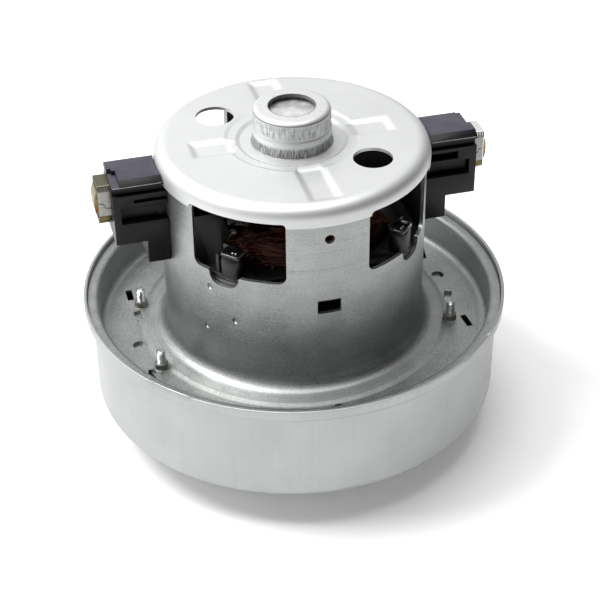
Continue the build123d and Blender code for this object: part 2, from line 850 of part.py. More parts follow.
with BuildPart() as impeller_blades:
    outer = impeller_radius - impeller_edge_margin
    inner = impeller_blade_inner / 2
    for blade in range(impeller_blade_count):
        azimuth = blade * 360 / impeller_blade_count
        bow_azimuth = azimuth + impeller_blade_sweep_angle * impeller_blade_bow_share
        with BuildSketch(Plane.XY.offset(throat_height)):
            with BuildLine():
                ThreePointArc(
                    polar(outer, azimuth),
                    polar((outer + inner) / 2, bow_azimuth),
                    polar(inner, azimuth + impeller_blade_sweep_angle),
                )
            trace(line_width=impeller_blade_sheet)
        extrude(amount=impeller_bottom - seat_gap - throat_height)
    # The lower edges follow the shroud
    with BuildSketch(Plane.XZ):
        with BuildLine():
            Polyline(
                (throat_radius, throat_height + seat_gap),
                (throat_radius, 0),
                (impeller_radius, 0),
                (impeller_radius, blade_bottom + seat_gap),
                close=True,
            )
        make_face()
    revolve(axis=Axis.Z, mode=Mode.SUBTRACT)
impeller_blades.part.label = "impeller_blades"
export_step(impeller_blades.part, "parts/impeller_blades.step")

with BuildPart() as impeller_washer:
    with BuildSketch(Plane.XY.offset(impeller_bottom - hub_washer_thickness)):
        Circle(hub_washer_diameter / 2)
        Circle(bore_radius, mode=Mode.SUBTRACT)
    extrude(amount=hub_washer_thickness)
impeller_washer.part.label = "impeller_washer"
export_step(impeller_washer.part, "parts/impeller_washer.step")

nut_bottom = impeller_bottom - hub_washer_thickness - nut_height
with BuildPart() as impeller_nut:
    with BuildSketch(Plane.XY.offset(nut_bottom)):
        RegularPolygon(nut_across_flats / 2, 6, major_radius=False)
        Circle(bore_radius, mode=Mode.SUBTRACT)
    extrude(amount=nut_height)
impeller_nut.part.label = "impeller_nut"
export_step(impeller_nut.part, "parts/impeller_nut.step")

with BuildPart() as spacer_sleeve:
    with BuildSketch(Plane.XY.offset(impeller_top)):
        Circle(spacer_diameter / 2)
        Circle(bore_radius, mode=Mode.SUBTRACT)
    extrude(amount=lower_bearing_bottom - impeller_top)
spacer_sleeve.part.label = "spacer_sleeve"
export_step(spacer_sleeve.part, "parts/spacer_sleeve.step")


# Shaft, turned thicker between the two bearings
shaft_top = disc_bottom - shaft_tip_clearance
shaft_bottom = nut_bottom - shaft_overhang
with BuildPart() as shaft:
    with BuildSketch(Plane.XZ):
        with BuildLine():
            Polyline(
                (0, shaft_bottom),
                (shaft_radius - shaft_chamfer, shaft_bottom),
                (shaft_radius, shaft_bottom + shaft_chamfer),
                (shaft_radius, bracket_bottom + seat_gap),
                (shaft_core_radius, bracket_bottom + seat_gap),
                (shaft_core_radius, upper_bearing_bottom - seat_gap),
                (shaft_radius, upper_bearing_bottom - seat_gap),
                (shaft_radius, shaft_top - shaft_chamfer),
                (shaft_radius - shaft_chamfer, shaft_top),
                (0, shaft_top),
                close=True,
            )
        make_face()
    revolve(axis=Axis.Z)
shaft.part.label = "shaft"
export_step(shaft.part, "parts/shaft.step")


# Armature: slotted lamination stack with its windings
slot_outer_radius = armature_radius - armature_lip
slot_middle = slot_outer_radius - armature_slot_depth / 2
with BuildPart() as armature_core:
    with BuildSketch(Plane.XY.offset(core_bottom_height)):
        Circle(armature_radius)
        Circle(shaft_core_radius + seat_gap, mode=Mode.SUBTRACT)
        with PolarLocations(slot_middle, armature_slot_count):
            Rectangle(armature_slot_depth, armature_slot_width, mode=Mode.SUBTRACT)
        with PolarLocations(slot_outer_radius - armature_lip, armature_slot_count):
            Rectangle(
                2 * armature_lip + overrun,
                armature_slot_opening,
                align=(Align.MIN, Align.CENTER),
                mode=Mode.SUBTRACT,
            )
    extrude(amount=core_length)
armature_core.part.label = "armature_core"
export_step(armature_core.part, "parts/armature_core.step")

with BuildPart() as armature_windings:
    with BuildSketch(Plane.XY.offset(core_bottom_height - end_winding_margin)):
        with PolarLocations(slot_middle, armature_slot_count):
            Rectangle(
                armature_slot_depth - 2 * press_gap, armature_slot_width - 2 * press_gap
            )
    extrude(amount=core_length + 2 * end_winding_margin)
    winding_outer = armature_radius - end_winding_margin
    winding_inner = shaft_core_radius + end_winding_margin
    for seat, end in (
        (core_bottom_height - press_gap, core_bottom_height - press_gap - end_winding_height),
        (core_top_height + press_gap, winding_top),
    ):
        slope_start = end + (seat - end) * end_winding_slope / end_winding_height
        with BuildSketch(Plane.XZ):
            with BuildLine():
                Polyline(
                    (winding_inner, seat),
                    (winding_outer, seat),
                    (winding_outer, slope_start),
                    (winding_outer - end_winding_slope, end),
                    (winding_inner, end),
                    close=True,
                )
            make_face()
        revolve(axis=Axis.Z)
armature_windings.part.label = "armature_windings"
export_step(armature_windings.part, "parts/armature_windings.step")


# Commutator: copper bars moulded round a hub
bar_inner_radius = commutator_radius - commutator_bar_depth
with BuildPart() as commutator_hub:
    hub_bottom = commutator_bottom - commutator_hub_overhang
    with BuildSketch(Plane.XY.offset(hub_bottom)):
        Circle(bar_inner_radius - seat_gap)
        Circle(shaft_core_radius + seat_gap, mode=Mode.SUBTRACT)
    extrude(amount=commutator_length + 2 * commutator_hub_overhang)
commutator_hub.part.label = "commutator_hub"
export_step(commutator_hub.part, "parts/commutator_hub.step")

with BuildPart() as commutator_bars:
    with BuildSketch(Plane.XY.offset(commutator_bottom)):
        Circle(commutator_radius)
    extrude(amount=commutator_length)
    with BuildSketch(Plane.XY.offset(commutator_bottom)):
        Circle(commutator_radius + commutator_riser_step)
    extrude(amount=commutator_riser_height)
    with BuildSketch(Plane.XY.offset(commutator_bottom)):
        Circle(bar_inner_radius)
        with PolarLocations(0, commutator_bar_count):
            Rectangle(
                commutator_diameter, commutator_mica, align=(Align.MIN, Align.CENTER)
            )
    extrude(amount=commutator_length, mode=Mode.SUBTRACT)
commutator_bars.part.label = "commutator_bars"
export_step(commutator_bars.part, "parts/commutator_bars.step")


# Field core: lamination stack with two poles, front and rear
with BuildPart() as field_core:
    with BuildSketch(Plane.XY.offset(core_bottom_height)):
        Circle(field_core_radius)
        Rectangle(2 * core_half_width, 2 * core_half_depth, mode=Mode.INTERSECT)
        RectangleRounded(
            2 * cavity_half_width, 2 * cavity_half_depth, cavity_corner, mode=Mode.SUBTRACT
        )
        Rectangle(pole_width, 2 * cavity_half_depth)
        for azimuth in field_angles.values():
            start = azimuth - pole_shoe_half_angle
            end = azimuth + pole_shoe_half_angle
            with BuildLine():
                CenterArc((0, 0), pole_face_radius, start, 2 * pole_shoe_half_angle)
                CenterArc((0, 0), shoe_outer_radius, start, 2 * pole_shoe_half_angle)
                Line(polar(pole_face_radius, start), polar(shoe_outer_radius, start))
                Line(polar(pole_face_radius, end), polar(shoe_outer_radius, end))
            make_face()
        Circle(pole_face_radius, mode=Mode.SUBTRACT)
    extrude(amount=core_length)
field_core.part.label = "field_core"
export_step(field_core.part, "parts/field_core.step")


# Field coils: one round each pole, bent to the armature's curve. The outer layer is
# wound from one wire, from the edge of the coil inwards, over a core of the rest
coil_bottom = core_bottom_height - coil_foot_height
coil_top = core_top_height + coil_end_height
coil_middle = (coil_bottom + coil_top) / 2
coil_core_radius = coil_outer_radius - coil_wire - seat_gap
wire_radius = coil_outer_radius - coil_wire / 2
wire_pitch = coil_wire + coil_wire_gap
wire_sides = 6
gap_points = 2400
for place, azimuth in field_angles.items():
    start = azimuth - coil_half_angle
    end = azimuth + coil_half_angle
    with BuildPart() as field_coil:
        with BuildSketch(Plane.XY.offset(coil_bottom)):
            with BuildLine():
                CenterArc((0, 0), coil_inner_radius, start, 2 * coil_half_angle)
                CenterArc((0, 0), coil_core_radius, start, 2 * coil_half_angle)
                Line(polar(coil_inner_radius, start), polar(coil_core_radius, start))
                Line(polar(coil_inner_radius, end), polar(coil_core_radius, end))
            make_face()
        extrude(amount=coil_top - coil_bottom)
        with BuildSketch(radial_plane(azimuth)):
            with Locations((0, coil_middle)):
                RectangleRounded(2 * coil_half_width, coil_top - coil_bottom, coil_corner)
            with Locations((0, core_middle)):
                RectangleRounded(
                    2 * coil_window_half,
                    core_length + 2 * (insulator_plate + loose_gap),
                    coil_window_corner,
                    mode=Mode.SUBTRACT,
                )
        extrude(amount=coil_outer_radius + overrun, mode=Mode.INTERSECT)
        # Each loop: up one side, over the top, down the other side, back below
        with BuildLine() as winding:
            for loop in range(coil_loop_count):
                inset = coil_wire / 2 + loop * wire_pitch
                bend = (coil_corner - coil_wire / 2) * (1 - loop / coil_loop_count)
                edge_angle = coil_half_angle - degrees((inset + bend) / wire_radius)
                low = coil_bottom + inset - (wire_pitch if loop else 0)
                high = coil_top - inset
                for side in (-1, 1):
                    angle = azimuth + side * edge_angle
                    bend_start = polar(wire_radius, angle, high)
                    round_plane = radial_plane(angle, wire_radius, high - bend)
                    foot = (low if side < 0 else coil_bottom + inset) + bend
                    bend_side = round_plane.from_local_coords((side * bend, 0, 0))
                    lean = side * bend / sqrt(2)
                    bend_middle = round_plane.from_local_coords((lean, bend / sqrt(2), 0))
                    foot_plane = radial_plane(angle, wire_radius, foot)
                    foot_side = foot_plane.from_local_coords((side * bend, 0, 0))
                    foot_middle = foot_plane.from_local_coords((lean, -bend / sqrt(2), 0))
                    foot_end = polar(wire_radius, angle, foot - bend)
                    if side < 0:
                        if loop:
                            back = polar(wire_radius, azimuth, foot - bend)
                            ThreePointArc(run_end, back, foot_end)
                            ThreePointArc(foot_end, foot_middle, foot_side)
                        Line(foot_side, bend_side)
                        ThreePointArc(bend_side, bend_middle, bend_start)
                        ThreePointArc(
                            bend_start,
                            polar(wire_radius, azimuth, high),
                            polar(wire_radius, azimuth + edge_angle, high),
                        )
                    else:
                        ThreePointArc(bend_start, bend_middle, bend_side)
                        Line(bend_side, foot_side)
                        if loop < coil_loop_count - 1:
                            ThreePointArc(foot_side, foot_middle, foot_end)
                            run_end = foot_end
        path = winding.wire()
        with BuildSketch(Plane(path @ 0, z_dir=path % 0)):
            RegularPolygon(coil_wire / 2, wire_sides)
        sweep(path=path)
    points = [tuple(path @ (step / gap_points)) for step in range(gap_points + 1)]
    near = round(2 * coil_corner * gap_points / path.length)
    closest = min(
        dist(point, other)
        for place_in_line, point in enumerate(points)
        for other in points[place_in_line + near :]
    )
    print(f"{place} field coil: {coil_loop_count} loops, least gap {closest - coil_wire:.2f} mm")
    field_coil.part.label = f"{place}_field_coil"
    export_step(field_coil.part, f"parts/{place}_field_coil.step")


# Field insulators: moulded plates on both ends of the core, four posts on the upper
post_top = core_top_height + insulator_plate + post_height
post_radius = can_inner_radius - post_wall_gap
for place, base in (
    ("upper", core_top_height),
    ("lower", core_bottom_height - insulator_plate),
):
    with BuildPart() as field_insulator:
        with BuildSketch(Plane.XY.offset(base)):
            Circle(can_inner_radius - loose_gap)
            Rectangle(
                2 * (core_half_width - loose_gap),
                2 * (core_half_depth - loose_gap),
                mode=Mode.INTERSECT,
            )
            for azimuth in field_angles.values():
                room = degrees(loose_gap / coil_inner_radius)
                start = azimuth - coil_half_angle - room
                end = azimuth + coil_half_angle + room
                low = coil_inner_radius - loose_gap
                high = coil_outer_radius + coil_slot_gap
                with BuildLine():
                    CenterArc((0, 0), low, start, end - start)
                    CenterArc((0, 0), high, start, end - start)
                    Line(polar(low, start), polar(high, start))
                    Line(polar(low, end), polar(high, end))
                make_face(mode=Mode.SUBTRACT)
            Rectangle(pole_width, 2 * cavity_half_depth + loose_gap)
            Circle(armature_radius + insulator_armature_gap, mode=Mode.SUBTRACT)
        extrude(amount=insulator_plate)
        if place == "upper":
            with BuildSketch(Plane.XY.offset(base)):
                for azimuth in post_angles:
                    with Locations(Location(polar(post_radius, azimuth), (0, 0, azimuth))):
                        RectangleRounded(post_depth, post_width, post_corner)
            extrude(amount=insulator_plate + post_height)
            with BuildSketch(Plane.XY.offset(post_top)):
                for azimuth in post_angles:
                    with Locations(Location(polar(post_radius, azimuth), (0, 0, azimuth))):
                        Rectangle(post_slot_depth, post_slot_width)
            extrude(amount=-post_slot_drop, mode=Mode.SUBTRACT)
    field_insulator.part.label = f"{place}_field_insulator"
    export_step(field_insulator.part, f"parts/{place}_field_insulator.step")

with BuildPart() as field_terminals:
    with BuildSketch(Plane.XY.offset(post_top - post_slot_drop)):
        for azimuth in post_angles:
            with Locations(Location(polar(post_radius, azimuth), (0, 0, azimuth))):
                Rectangle(field_terminal_thickness, field_terminal_width)
    extrude(amount=field_terminal_height)
field_terminals.part.label = "field_terminals"
export_step(field_terminals.part, "parts/field_terminals.step")


# Brush gear, alike on both sides: holder, tube, carbon brush, spring and clip
tube_bottom = brush_height - tube_depth / 2
tube_top = brush_height + tube_depth / 2
holder_half = holder_width / 2
for side, azimuth in brush_angles.items():
    with BuildPart() as brush_holder:
        with BuildSketch(radial_plane(azimuth)):
            with BuildLine():
                Polyline(
                    (-holder_half, holder_bottom_height),
                    (holder_half, holder_bottom_height),
                    (holder_half, holder_ledge_height),
                    (holder_top_width / 2, holder_top_height),
                    (-holder_top_width / 2, holder_top_height),
                    (-holder_half, holder_ledge_height),
                    close=True,
                )
            make_face()
        extrude(amount=holder_end_radius)
        # The leg reaches down along the can
        with BuildSketch(radial_plane(azimuth)):
            with Locations((0, holder_bottom_height)):
                Rectangle(
                    holder_width,
                    holder_bottom_height - holder_leg_height,
                    align=(Align.CENTER, Align.MAX),
                )
        extrude(amount=holder_leg_radius)
        # Hollowed to lie against the can, and above it against the cap's skirt
        with BuildSketch(Plane.XY.offset(holder_leg_height)):
            Circle(can_radius + holder_wall_gap)
        extrude(amount=holder_top_height - holder_leg_height, mode=Mode.SUBTRACT)
        with BuildSketch(Plane.XY.offset(cap_skirt_height - holder_wall_gap)):
            Circle(cap_radius + holder_wall_gap)
        extrude(amount=holder_top_height - holder_leg_height, mode=Mode.SUBTRACT)
        # Shadow lines and slots of the two sides
        for toward in (-1, 1):
            face_plane = side_plane(azimuth).offset(toward * (holder_half - holder_band_depth))
            with BuildSketch(face_plane):
                with Locations((0, brush_height + holder_band_rise)):
                    Rectangle(
                        holder_end_radius + overrun,
                        holder_band_width,
                        align=(Align.MIN, Align.MIN),
                    )
            extrude(amount=toward * holder_width, mode=Mode.SUBTRACT)
            slots = [(wide_slot_margin, -wide_slot_drop, wide_slot_width)]
            if toward > 0:
                slots.append((step_slot_margin, step_slot_rise, step_slot_width))
            else:
                slots.append((thin_slot_margin, thin_slot_rise, thin_slot_width))
            slot_plane = side_plane(azimuth).offset(toward * (holder_half - side_slot_depth))
            with BuildSketch(slot_plane):
                for margin, rise, width in slots:
                    end_radius = holder_end_radius - margin
                    low = brush_height + rise
                    outline = ring_outline(can_inner_radius, end_radius, low, low + width)
                    with BuildLine():
                        Polyline(*outline, close=True)
                    make_face()
            extrude(amount=toward * holder_width, mode=Mode.SUBTRACT)
        # The top plate's outboard edge is notched in the middle and stepped on one side
        with BuildSketch(Plane.XY.offset(holder_ledge_height)):
            with Locations(Location(polar(holder_end_radius, azimuth), (0, 0, azimuth))):
                Rectangle(2 * top_notch_depth, top_notch_width)
                Rectangle(
                    2 * top_step_depth, holder_width, align=(Align.CENTER, Align.MIN)
                )
        extrude(amount=holder_top_height - holder_ledge_height, mode=Mode.SUBTRACT)
        # The neck carries the tube through the can
        with BuildSketch(radial_plane(azimuth, neck_start_radius)):
            with Locations((0, brush_height)):
                Rectangle(neck_width, neck_depth)
        extrude(amount=cap_radius + overrun - neck_start_radius)
        with BuildSketch(radial_plane(azimuth, neck_start_radius)):
            with Locations((0, brush_height)):
                RectangleRounded(
                    tube_width + 2 * seat_gap, tube_depth + 2 * seat_gap, tube_corner
                )
        extrude(amount=holder_end_radius, mode=Mode.SUBTRACT)
    brush_holder.part.label = f"{side}_brush_holder"
    export_step(brush_holder.part, f"parts/{side}_brush_holder.step")

    with BuildPart() as brush_tube:
        with BuildSketch(radial_plane(azimuth, tube_start_radius)):
            with Locations((0, brush_height)):
                RectangleRounded(tube_width, tube_depth, tube_corner)
                Rectangle(tube_inner_width, tube_inner_depth, mode=Mode.SUBTRACT)
        extrude(amount=tube_end_radius - tube_start_radius)
    brush_tube.part.label = f"{side}_brush_tube"
    export_step(brush_tube.part, f"parts/{side}_brush_tube.step")

    with BuildPart() as carbon_brush:
        with BuildSketch(radial_plane(azimuth)):
            with Locations((0, brush_height)):
                Rectangle(brush_width, brush_depth)
        extrude(amount=brush_outer_radius)
        with BuildSketch(Plane.XY.offset(brush_height - brush_depth)):
            Circle(commutator_radius + brush_contact_gap)
        extrude(amount=2 * brush_depth, mode=Mode.SUBTRACT)
    carbon_brush.part.label = f"{side}_carbon_brush"
    export_step(carbon_brush.part, f"parts/{side}_carbon_brush.step")

    with BuildPart() as brush_spring:
        with BuildSketch(radial_plane(azimuth, brush_outer_radius + seat_gap)):
            with Locations((0, brush_height)):
                Circle(spring_diameter / 2)
                Circle(spring_diameter / 2 - spring_wire, mode=Mode.SUBTRACT)
        extrude(amount=tube_end_radius - brush_outer_radius - 2 * seat_gap)
    brush_spring.part.label = f"{side}_brush_spring"
    export_step(brush_spring.part, f"parts/{side}_brush_spring.step")

    # Tinned clip: a channel round the tube's end, closed where the spring rests
    with BuildPart() as brush_clip:
        clip_width = tube_width + 2 * (clip_gap + clip_sheet)
        clip_bottom = tube_bottom - clip_gap - clip_sheet
        with BuildSketch(radial_plane(azimuth, holder_end_radius + clip_gap)):
            with Locations((0, clip_bottom)):
                Rectangle(
                    clip_width,
                    tube_top - clip_top_drop - clip_bottom,
                    align=(Align.CENTER, Align.MIN),
                )
        extrude(amount=tube_end_radius + clip_sheet - holder_end_radius)
        with BuildSketch(radial_plane(azimuth, holder_end_radius)):
            with Locations((0, brush_height)):
                Rectangle(tube_width + 2 * clip_gap, tube_depth + 2 * clip_gap)
        extrude(amount=tube_end_radius - holder_end_radius, mode=Mode.SUBTRACT)
    brush_clip.part.label = f"{side}_brush_clip"
    export_step(brush_clip.part, f"parts/{side}_brush_clip.step")
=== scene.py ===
from math import atan2, cos, degrees, hypot, pi, radians, sin, tau
from random import Random

import bmesh
import bpy
from mathutils import Matrix, Vector


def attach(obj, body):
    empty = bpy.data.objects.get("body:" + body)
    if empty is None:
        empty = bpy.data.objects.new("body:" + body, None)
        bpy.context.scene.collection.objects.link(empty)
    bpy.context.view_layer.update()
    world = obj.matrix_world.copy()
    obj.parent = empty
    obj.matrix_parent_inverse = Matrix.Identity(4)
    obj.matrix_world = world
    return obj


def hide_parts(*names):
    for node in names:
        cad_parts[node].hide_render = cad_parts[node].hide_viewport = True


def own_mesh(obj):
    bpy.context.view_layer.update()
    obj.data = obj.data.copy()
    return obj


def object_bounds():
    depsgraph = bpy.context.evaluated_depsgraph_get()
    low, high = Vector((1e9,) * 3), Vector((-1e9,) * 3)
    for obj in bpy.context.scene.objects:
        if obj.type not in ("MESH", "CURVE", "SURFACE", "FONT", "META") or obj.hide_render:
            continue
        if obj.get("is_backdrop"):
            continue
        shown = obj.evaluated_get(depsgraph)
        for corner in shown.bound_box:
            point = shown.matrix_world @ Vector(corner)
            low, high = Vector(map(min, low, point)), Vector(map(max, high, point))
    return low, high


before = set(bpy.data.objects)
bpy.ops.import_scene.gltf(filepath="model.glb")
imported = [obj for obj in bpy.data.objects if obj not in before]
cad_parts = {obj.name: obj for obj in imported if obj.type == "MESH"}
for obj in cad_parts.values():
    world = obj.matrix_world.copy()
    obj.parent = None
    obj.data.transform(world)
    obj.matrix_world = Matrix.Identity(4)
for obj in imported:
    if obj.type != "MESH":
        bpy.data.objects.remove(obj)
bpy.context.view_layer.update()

mm = 0.001

# Studio: the motor stands on a white floor that fades into a white room. A wide soft
# lamp hangs above it and a smaller one stands behind it on the left, and the camera
# looks down on it from the front, a little past the left brush.
floor_reach = 6.0
floor_white = 0.93
floor_glow = 0.16
lens_length = 93.6
sensor_width = 36.0
camera_turn = radians(-15)
camera_tilt = radians(35.33)
camera_roll = radians(-0.56)
camera_range = 508 * mm
camera_aim = Vector((1.91, 0, 39.2)) * mm
lamp_aim = Vector((0, 0, 60)) * mm
lamps = {
    "key_lamp": ((-460, 120, 760), 420, 6.2),
    "top_lamp": ((20, -20, 1100), 700, 5.5),
}
lit_heading = (-0.62, 0.72, 0.1)
lit_from = -0.5
lit_to = 0.55
room_dark = 0.01
room_bright = 0.85

sight = Vector((0, cos(camera_tilt), -sin(camera_tilt)))
across = Vector((1, 0, 0))
upward = across.cross(sight)
rolled_across = across * cos(camera_roll) + upward * sin(camera_roll)
rolled_upward = upward * cos(camera_roll) - across * sin(camera_roll)
stand = Matrix((rolled_across, rolled_upward, -sight)).transposed().to_4x4()
stand.translation = camera_aim - sight * camera_range
camera_data = bpy.data.cameras.new("camera")
camera_data.lens = lens_length
camera_data.sensor_width = sensor_width
camera_data.clip_start = 10 * mm
camera = bpy.data.objects.new("camera", camera_data)
camera.matrix_world = Matrix.Rotation(camera_turn, 4, "Z") @ stand
bpy.context.scene.collection.objects.link(camera)
bpy.context.scene.camera = camera
bpy.context.scene.view_settings.view_transform = "Standard"
for name, (place, width, power) in lamps.items():
    data = bpy.data.lights.new(name, "AREA")
    data.shape = "DISK"
    data.size = width * mm
    data.energy = power
    lamp = bpy.data.objects.new(name, data)
    lamp.location = Vector(place) * mm
    lamp.rotation_euler = (lamp_aim - lamp.location).to_track_quat("-Z", "Y").to_euler()
    bpy.context.scene.collection.objects.link(lamp)


def worked(tree, operation, first, second=None):
    """A Math node on two values or outputs."""
    node = tree.nodes.new("ShaderNodeMath")
    node.operation = operation
    for socket, value in zip(node.inputs, (first, second)):
        if value is None:
            continue
        if isinstance(value, bpy.types.NodeSocket):
            tree.links.new(value, socket)
        else:
            socket.default_value = value
    return node.outputs[0]


def eased(tree, value, low=0.3, high=0.7, to_low=0.0, to_high=1.0):
    """The value brought from low..high to to_low..to_high, and kept within it."""
    node = tree.nodes.new("ShaderNodeMapRange")
    for name, number in zip(
        ("From Min", "From Max", "To Min", "To Max"), (low, high, to_low, to_high)
    ):
        node.inputs[name].default_value = number
    tree.links.new(value, node.inputs["Value"])
    return node.outputs[0]


# The room's light falls off towards the front and the right.
room = bpy.data.worlds.new("room")
bpy.context.scene.world = room
room.use_nodes = True
tree = room.node_tree
tree.nodes.clear()
room_output = tree.nodes.new("ShaderNodeOutputWorld")
room_light = tree.nodes.new("ShaderNodeBackground")
ray_heading = tree.nodes.new("ShaderNodeTexCoord")
lit_side = tree.nodes.new("ShaderNodeVectorMath")
lit_side.operation = "DOT_PRODUCT"
lit_side.inputs[1].default_value = lit_heading
room_light.inputs["Color"].default_value = (1, 1, 1, 1)
tree.links.new(ray_heading.outputs["Generated"], lit_side.inputs[0])
brightness = eased(tree, lit_side.outputs["Value"], lit_from, lit_to, room_dark, room_bright)
tree.links.new(brightness, room_light.inputs["Strength"])
tree.links.new(room_light.outputs[0], room_output.inputs[0])

floor_mesh = bmesh.new()
bmesh.ops.create_grid(floor_mesh, x_segments=1, y_segments=1, size=floor_reach)
floor_data = bpy.data.meshes.new("floor")
floor_mesh.to_mesh(floor_data)
floor_mesh.free()
floor = bpy.data.objects.new("floor", floor_data)
bpy.context.scene.collection.objects.link(floor)
floor_finish = bpy.data.materials.new("floor")
floor_finish.use_nodes = True
tree = floor_finish.node_tree
floor_shader = tree.nodes["Principled BSDF"]
floor_shader.inputs["Base Color"].default_value = (floor_white, floor_white, floor_white, 1)
floor_shader.inputs["Roughness"].default_value = 0.9
floor_shader.inputs["Specular IOR Level"].default_value = 0.1
floor_shader.inputs["Emission Color"].default_value = (1, 1, 1, 1)
ray_kind = tree.nodes.new("ShaderNodeLightPath")
seen = worked(
    tree, "MAXIMUM", ray_kind.outputs["Is Camera Ray"], ray_kind.outputs["Is Glossy Ray"]
)
seen = worked(tree, "MAXIMUM", seen, ray_kind.outputs["Is Transmission Ray"])
tree.links.new(worked(tree, "MULTIPLY", seen, floor_glow), floor_shader.inputs["Emission Strength"])
floor_data.materials.append(floor_finish)
floor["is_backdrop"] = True

# Fan cover: a drum deep-drawn from zinc-coated sheet, stepped out to a lip that is
# staked inwards over the frame's rim in four places. A dome round the intake eye
# stands under it, and the drawing left faint upright streaks on its wall.
lip_radius = 67.5
lip_top = 47.3
drum_radius = 65.2
shoulder_height = 43.4
drum_bottom = 12.0
cover_sheet = 1.0
cover_steps = 384
eye_radius = 19.5
crimp_azimuths = (-48, 42, 132, 222)
crimp_width = 14.0
crimp_reach_inside = 1.5
crimp_reach_outside = 0.4
crimp_drop = 0.5
crimp_root = 45.55
crimp_fade = 1.6
punch_half = 1.3
punch_reach = 0.4
punch_drop = 0.5
rim_height = 45.6
rim_bend = 0.25
drum_colour = (0.43, 0.445, 0.435)
drum_streak_width = 1.1
drum_grain = 0.35


def bent_line(corners, closed=False):
    """Wire in the X-Z plane through corners (radius, height, bend), with each bend rounded off."""
    wire = bmesh.new()
    points = [wire.verts.new((r * mm, 0, z * mm)) for r, z, _ in corners]
    pairs = list(zip(points, points[1:]))
    if closed:
        pairs.append((points[-1], points[0]))
    for pair in pairs:
        wire.edges.new(pair)
    count = len(corners)
    for index, (point, corner) in enumerate(zip(points, corners)):
        if corner[2] <= 0:
            continue
        before = Vector(corners[index - 1][:2]) - Vector(corner[:2])
        after = Vector(corners[(index + 1) % count][:2]) - Vector(corner[:2])
        turn = pi - before.angle(after)
        reach = corner[2] * abs(sin(turn / 2) / cos(turn / 2))
        bmesh.ops.bevel(
            wire,
            geom=[point],
            offset=reach * mm,
            offset_type="OFFSET",
            segments=max(2, round(turn / radians(12))),
            profile=0.5,
            affect="VERTICES",
            material=-1,
        )
    return wire


def edged(mesh, edges, width, segments, clamped=True):
    """Rounds the edges off by width millimetres."""
    bmesh.ops.bevel(
        mesh,
        geom=edges,
        offset=width * mm,
        offset_type="OFFSET",
        segments=segments,
        profile=0.5,
        affect="EDGES",
        clamp_overlap=clamped,
        material=-1,
    )


def turned(corners, steps, closed=False, wall=0):
    """The wire spun round Z. Seen along an open wire, its wall lies on the left."""
    skin = bent_line(corners, closed)
    bmesh.ops.spin(
        skin,
        geom=skin.verts[:] + skin.edges[:],
        cent=(0, 0, 0),
        axis=(0, 0, 1),
        angle=tau,
        steps=steps,
        use_merge=True,
    )
    bmesh.ops.remove_doubles(skin, verts=skin.verts, dist=0.002 * mm)
    bmesh.ops.recalc_face_normals(skin, faces=skin.faces)
    if wall:
        (r0, z0, _), (r1, z1, _) = corners[-2:]
        middle = Vector((r0 + r1, 0, z0 + z1)) * mm / 2
        face = min(skin.faces, key=lambda f: (f.calc_center_median() - middle).length)
        if face.normal.dot(Vector((z1 - z0, 0, r0 - r1))) < 0:
            bmesh.ops.reverse_faces(skin, faces=skin.faces)
        bmesh.ops.solidify(skin, geom=skin.faces[:], thickness=wall * mm)
    return skin


def pieced(mesh, name, finish, crease=32, body="housing"):
    """Turns the bmesh into the finished object called name, riding on its body."""
    data = bpy.data.meshes.new(name)
    mesh.to_mesh(data)
    mesh.free()
    data.shade_smooth()
    data.set_sharp_from_angle(angle=radians(crease))
    data.materials.append(finish)
    piece = bpy.data.objects.new(name, data)
    bpy.context.scene.collection.objects.link(piece)
    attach(piece, body)
    return piece


def finish_of(name, colour, metal, roughness):
    """A new finish: its material, its tree and its shader."""
    material = bpy.data.materials.new(name)
    material.use_nodes = True
    material.diffuse_color = (*colour, 1)
    shader = material.node_tree.nodes["Principled BSDF"]
    shader.inputs["Base Color"].default_value = (*colour, 1)
    shader.inputs["Metallic"].default_value = metal
    shader.inputs["Roughness"].default_value = roughness
    return material, material.node_tree, shader


def place_of(tree):
    return tree.nodes.new("ShaderNodeTexCoord").outputs["Object"]


def grain(tree, place, size, detail=2.0, stretch=None):
    """Noise whose marks are about size millimetres across, drawn out by stretch along X, Y, Z."""
    node = tree.nodes.new("ShaderNodeTexNoise")
    node.inputs["Scale"].default_value = 1 / (size * mm)
    node.inputs["Detail"].default_value = detail
    if stretch:
        mapping = tree.nodes.new("ShaderNodeMapping")
        mapping.inputs["Scale"].default_value = [1 / s for s in stretch]
        tree.links.new(place, mapping.inputs[0])
        place = mapping.outputs[0]
    tree.links.new(place, node.inputs["Vector"])
    return node.outputs[0]


def parted(tree, vector):
    """The X, Y and Z of a vector."""
    split = tree.nodes.new("ShaderNodeSeparateXYZ")
    tree.links.new(vector, split.inputs[0])
    return split.outputs


def axis_distance(tree):
    x, y, _ = parted(tree, place_of(tree))
    squares = worked(tree, "ADD", worked(tree, "POWER", x, 2), worked(tree, "POWER", y, 2))
    return worked(tree, "SQRT", squares)


def round_place(tree, radius):
    """Place on a round wall: the arc at the given radius in X, height in Z, depth in Y."""
    x, y, z = parted(tree, place_of(tree))
    arc = worked(tree, "MULTIPLY", worked(tree, "ARCTAN2", y, x), radius * mm)
    joined = tree.nodes.new("ShaderNodeCombineXYZ")
    for part, socket in zip((arc, axis_distance(tree), z), joined.inputs):
        tree.links.new(part, socket)
    return joined.outputs[0]


def tinted(tree, share, first, second):
    """A colour between first and second, by share."""
    node = tree.nodes.new("ShaderNodeMix")
    node.data_type = "RGBA"
    tree.links.new(share, node.inputs[0])
    for socket, colour in ((node.inputs[6], first), (node.inputs[7], second)):
        if isinstance(colour, bpy.types.NodeSocket):
            tree.links.new(colour, socket)
        else:
            socket.default_value = (*colour, 1)
    return node.outputs[2]


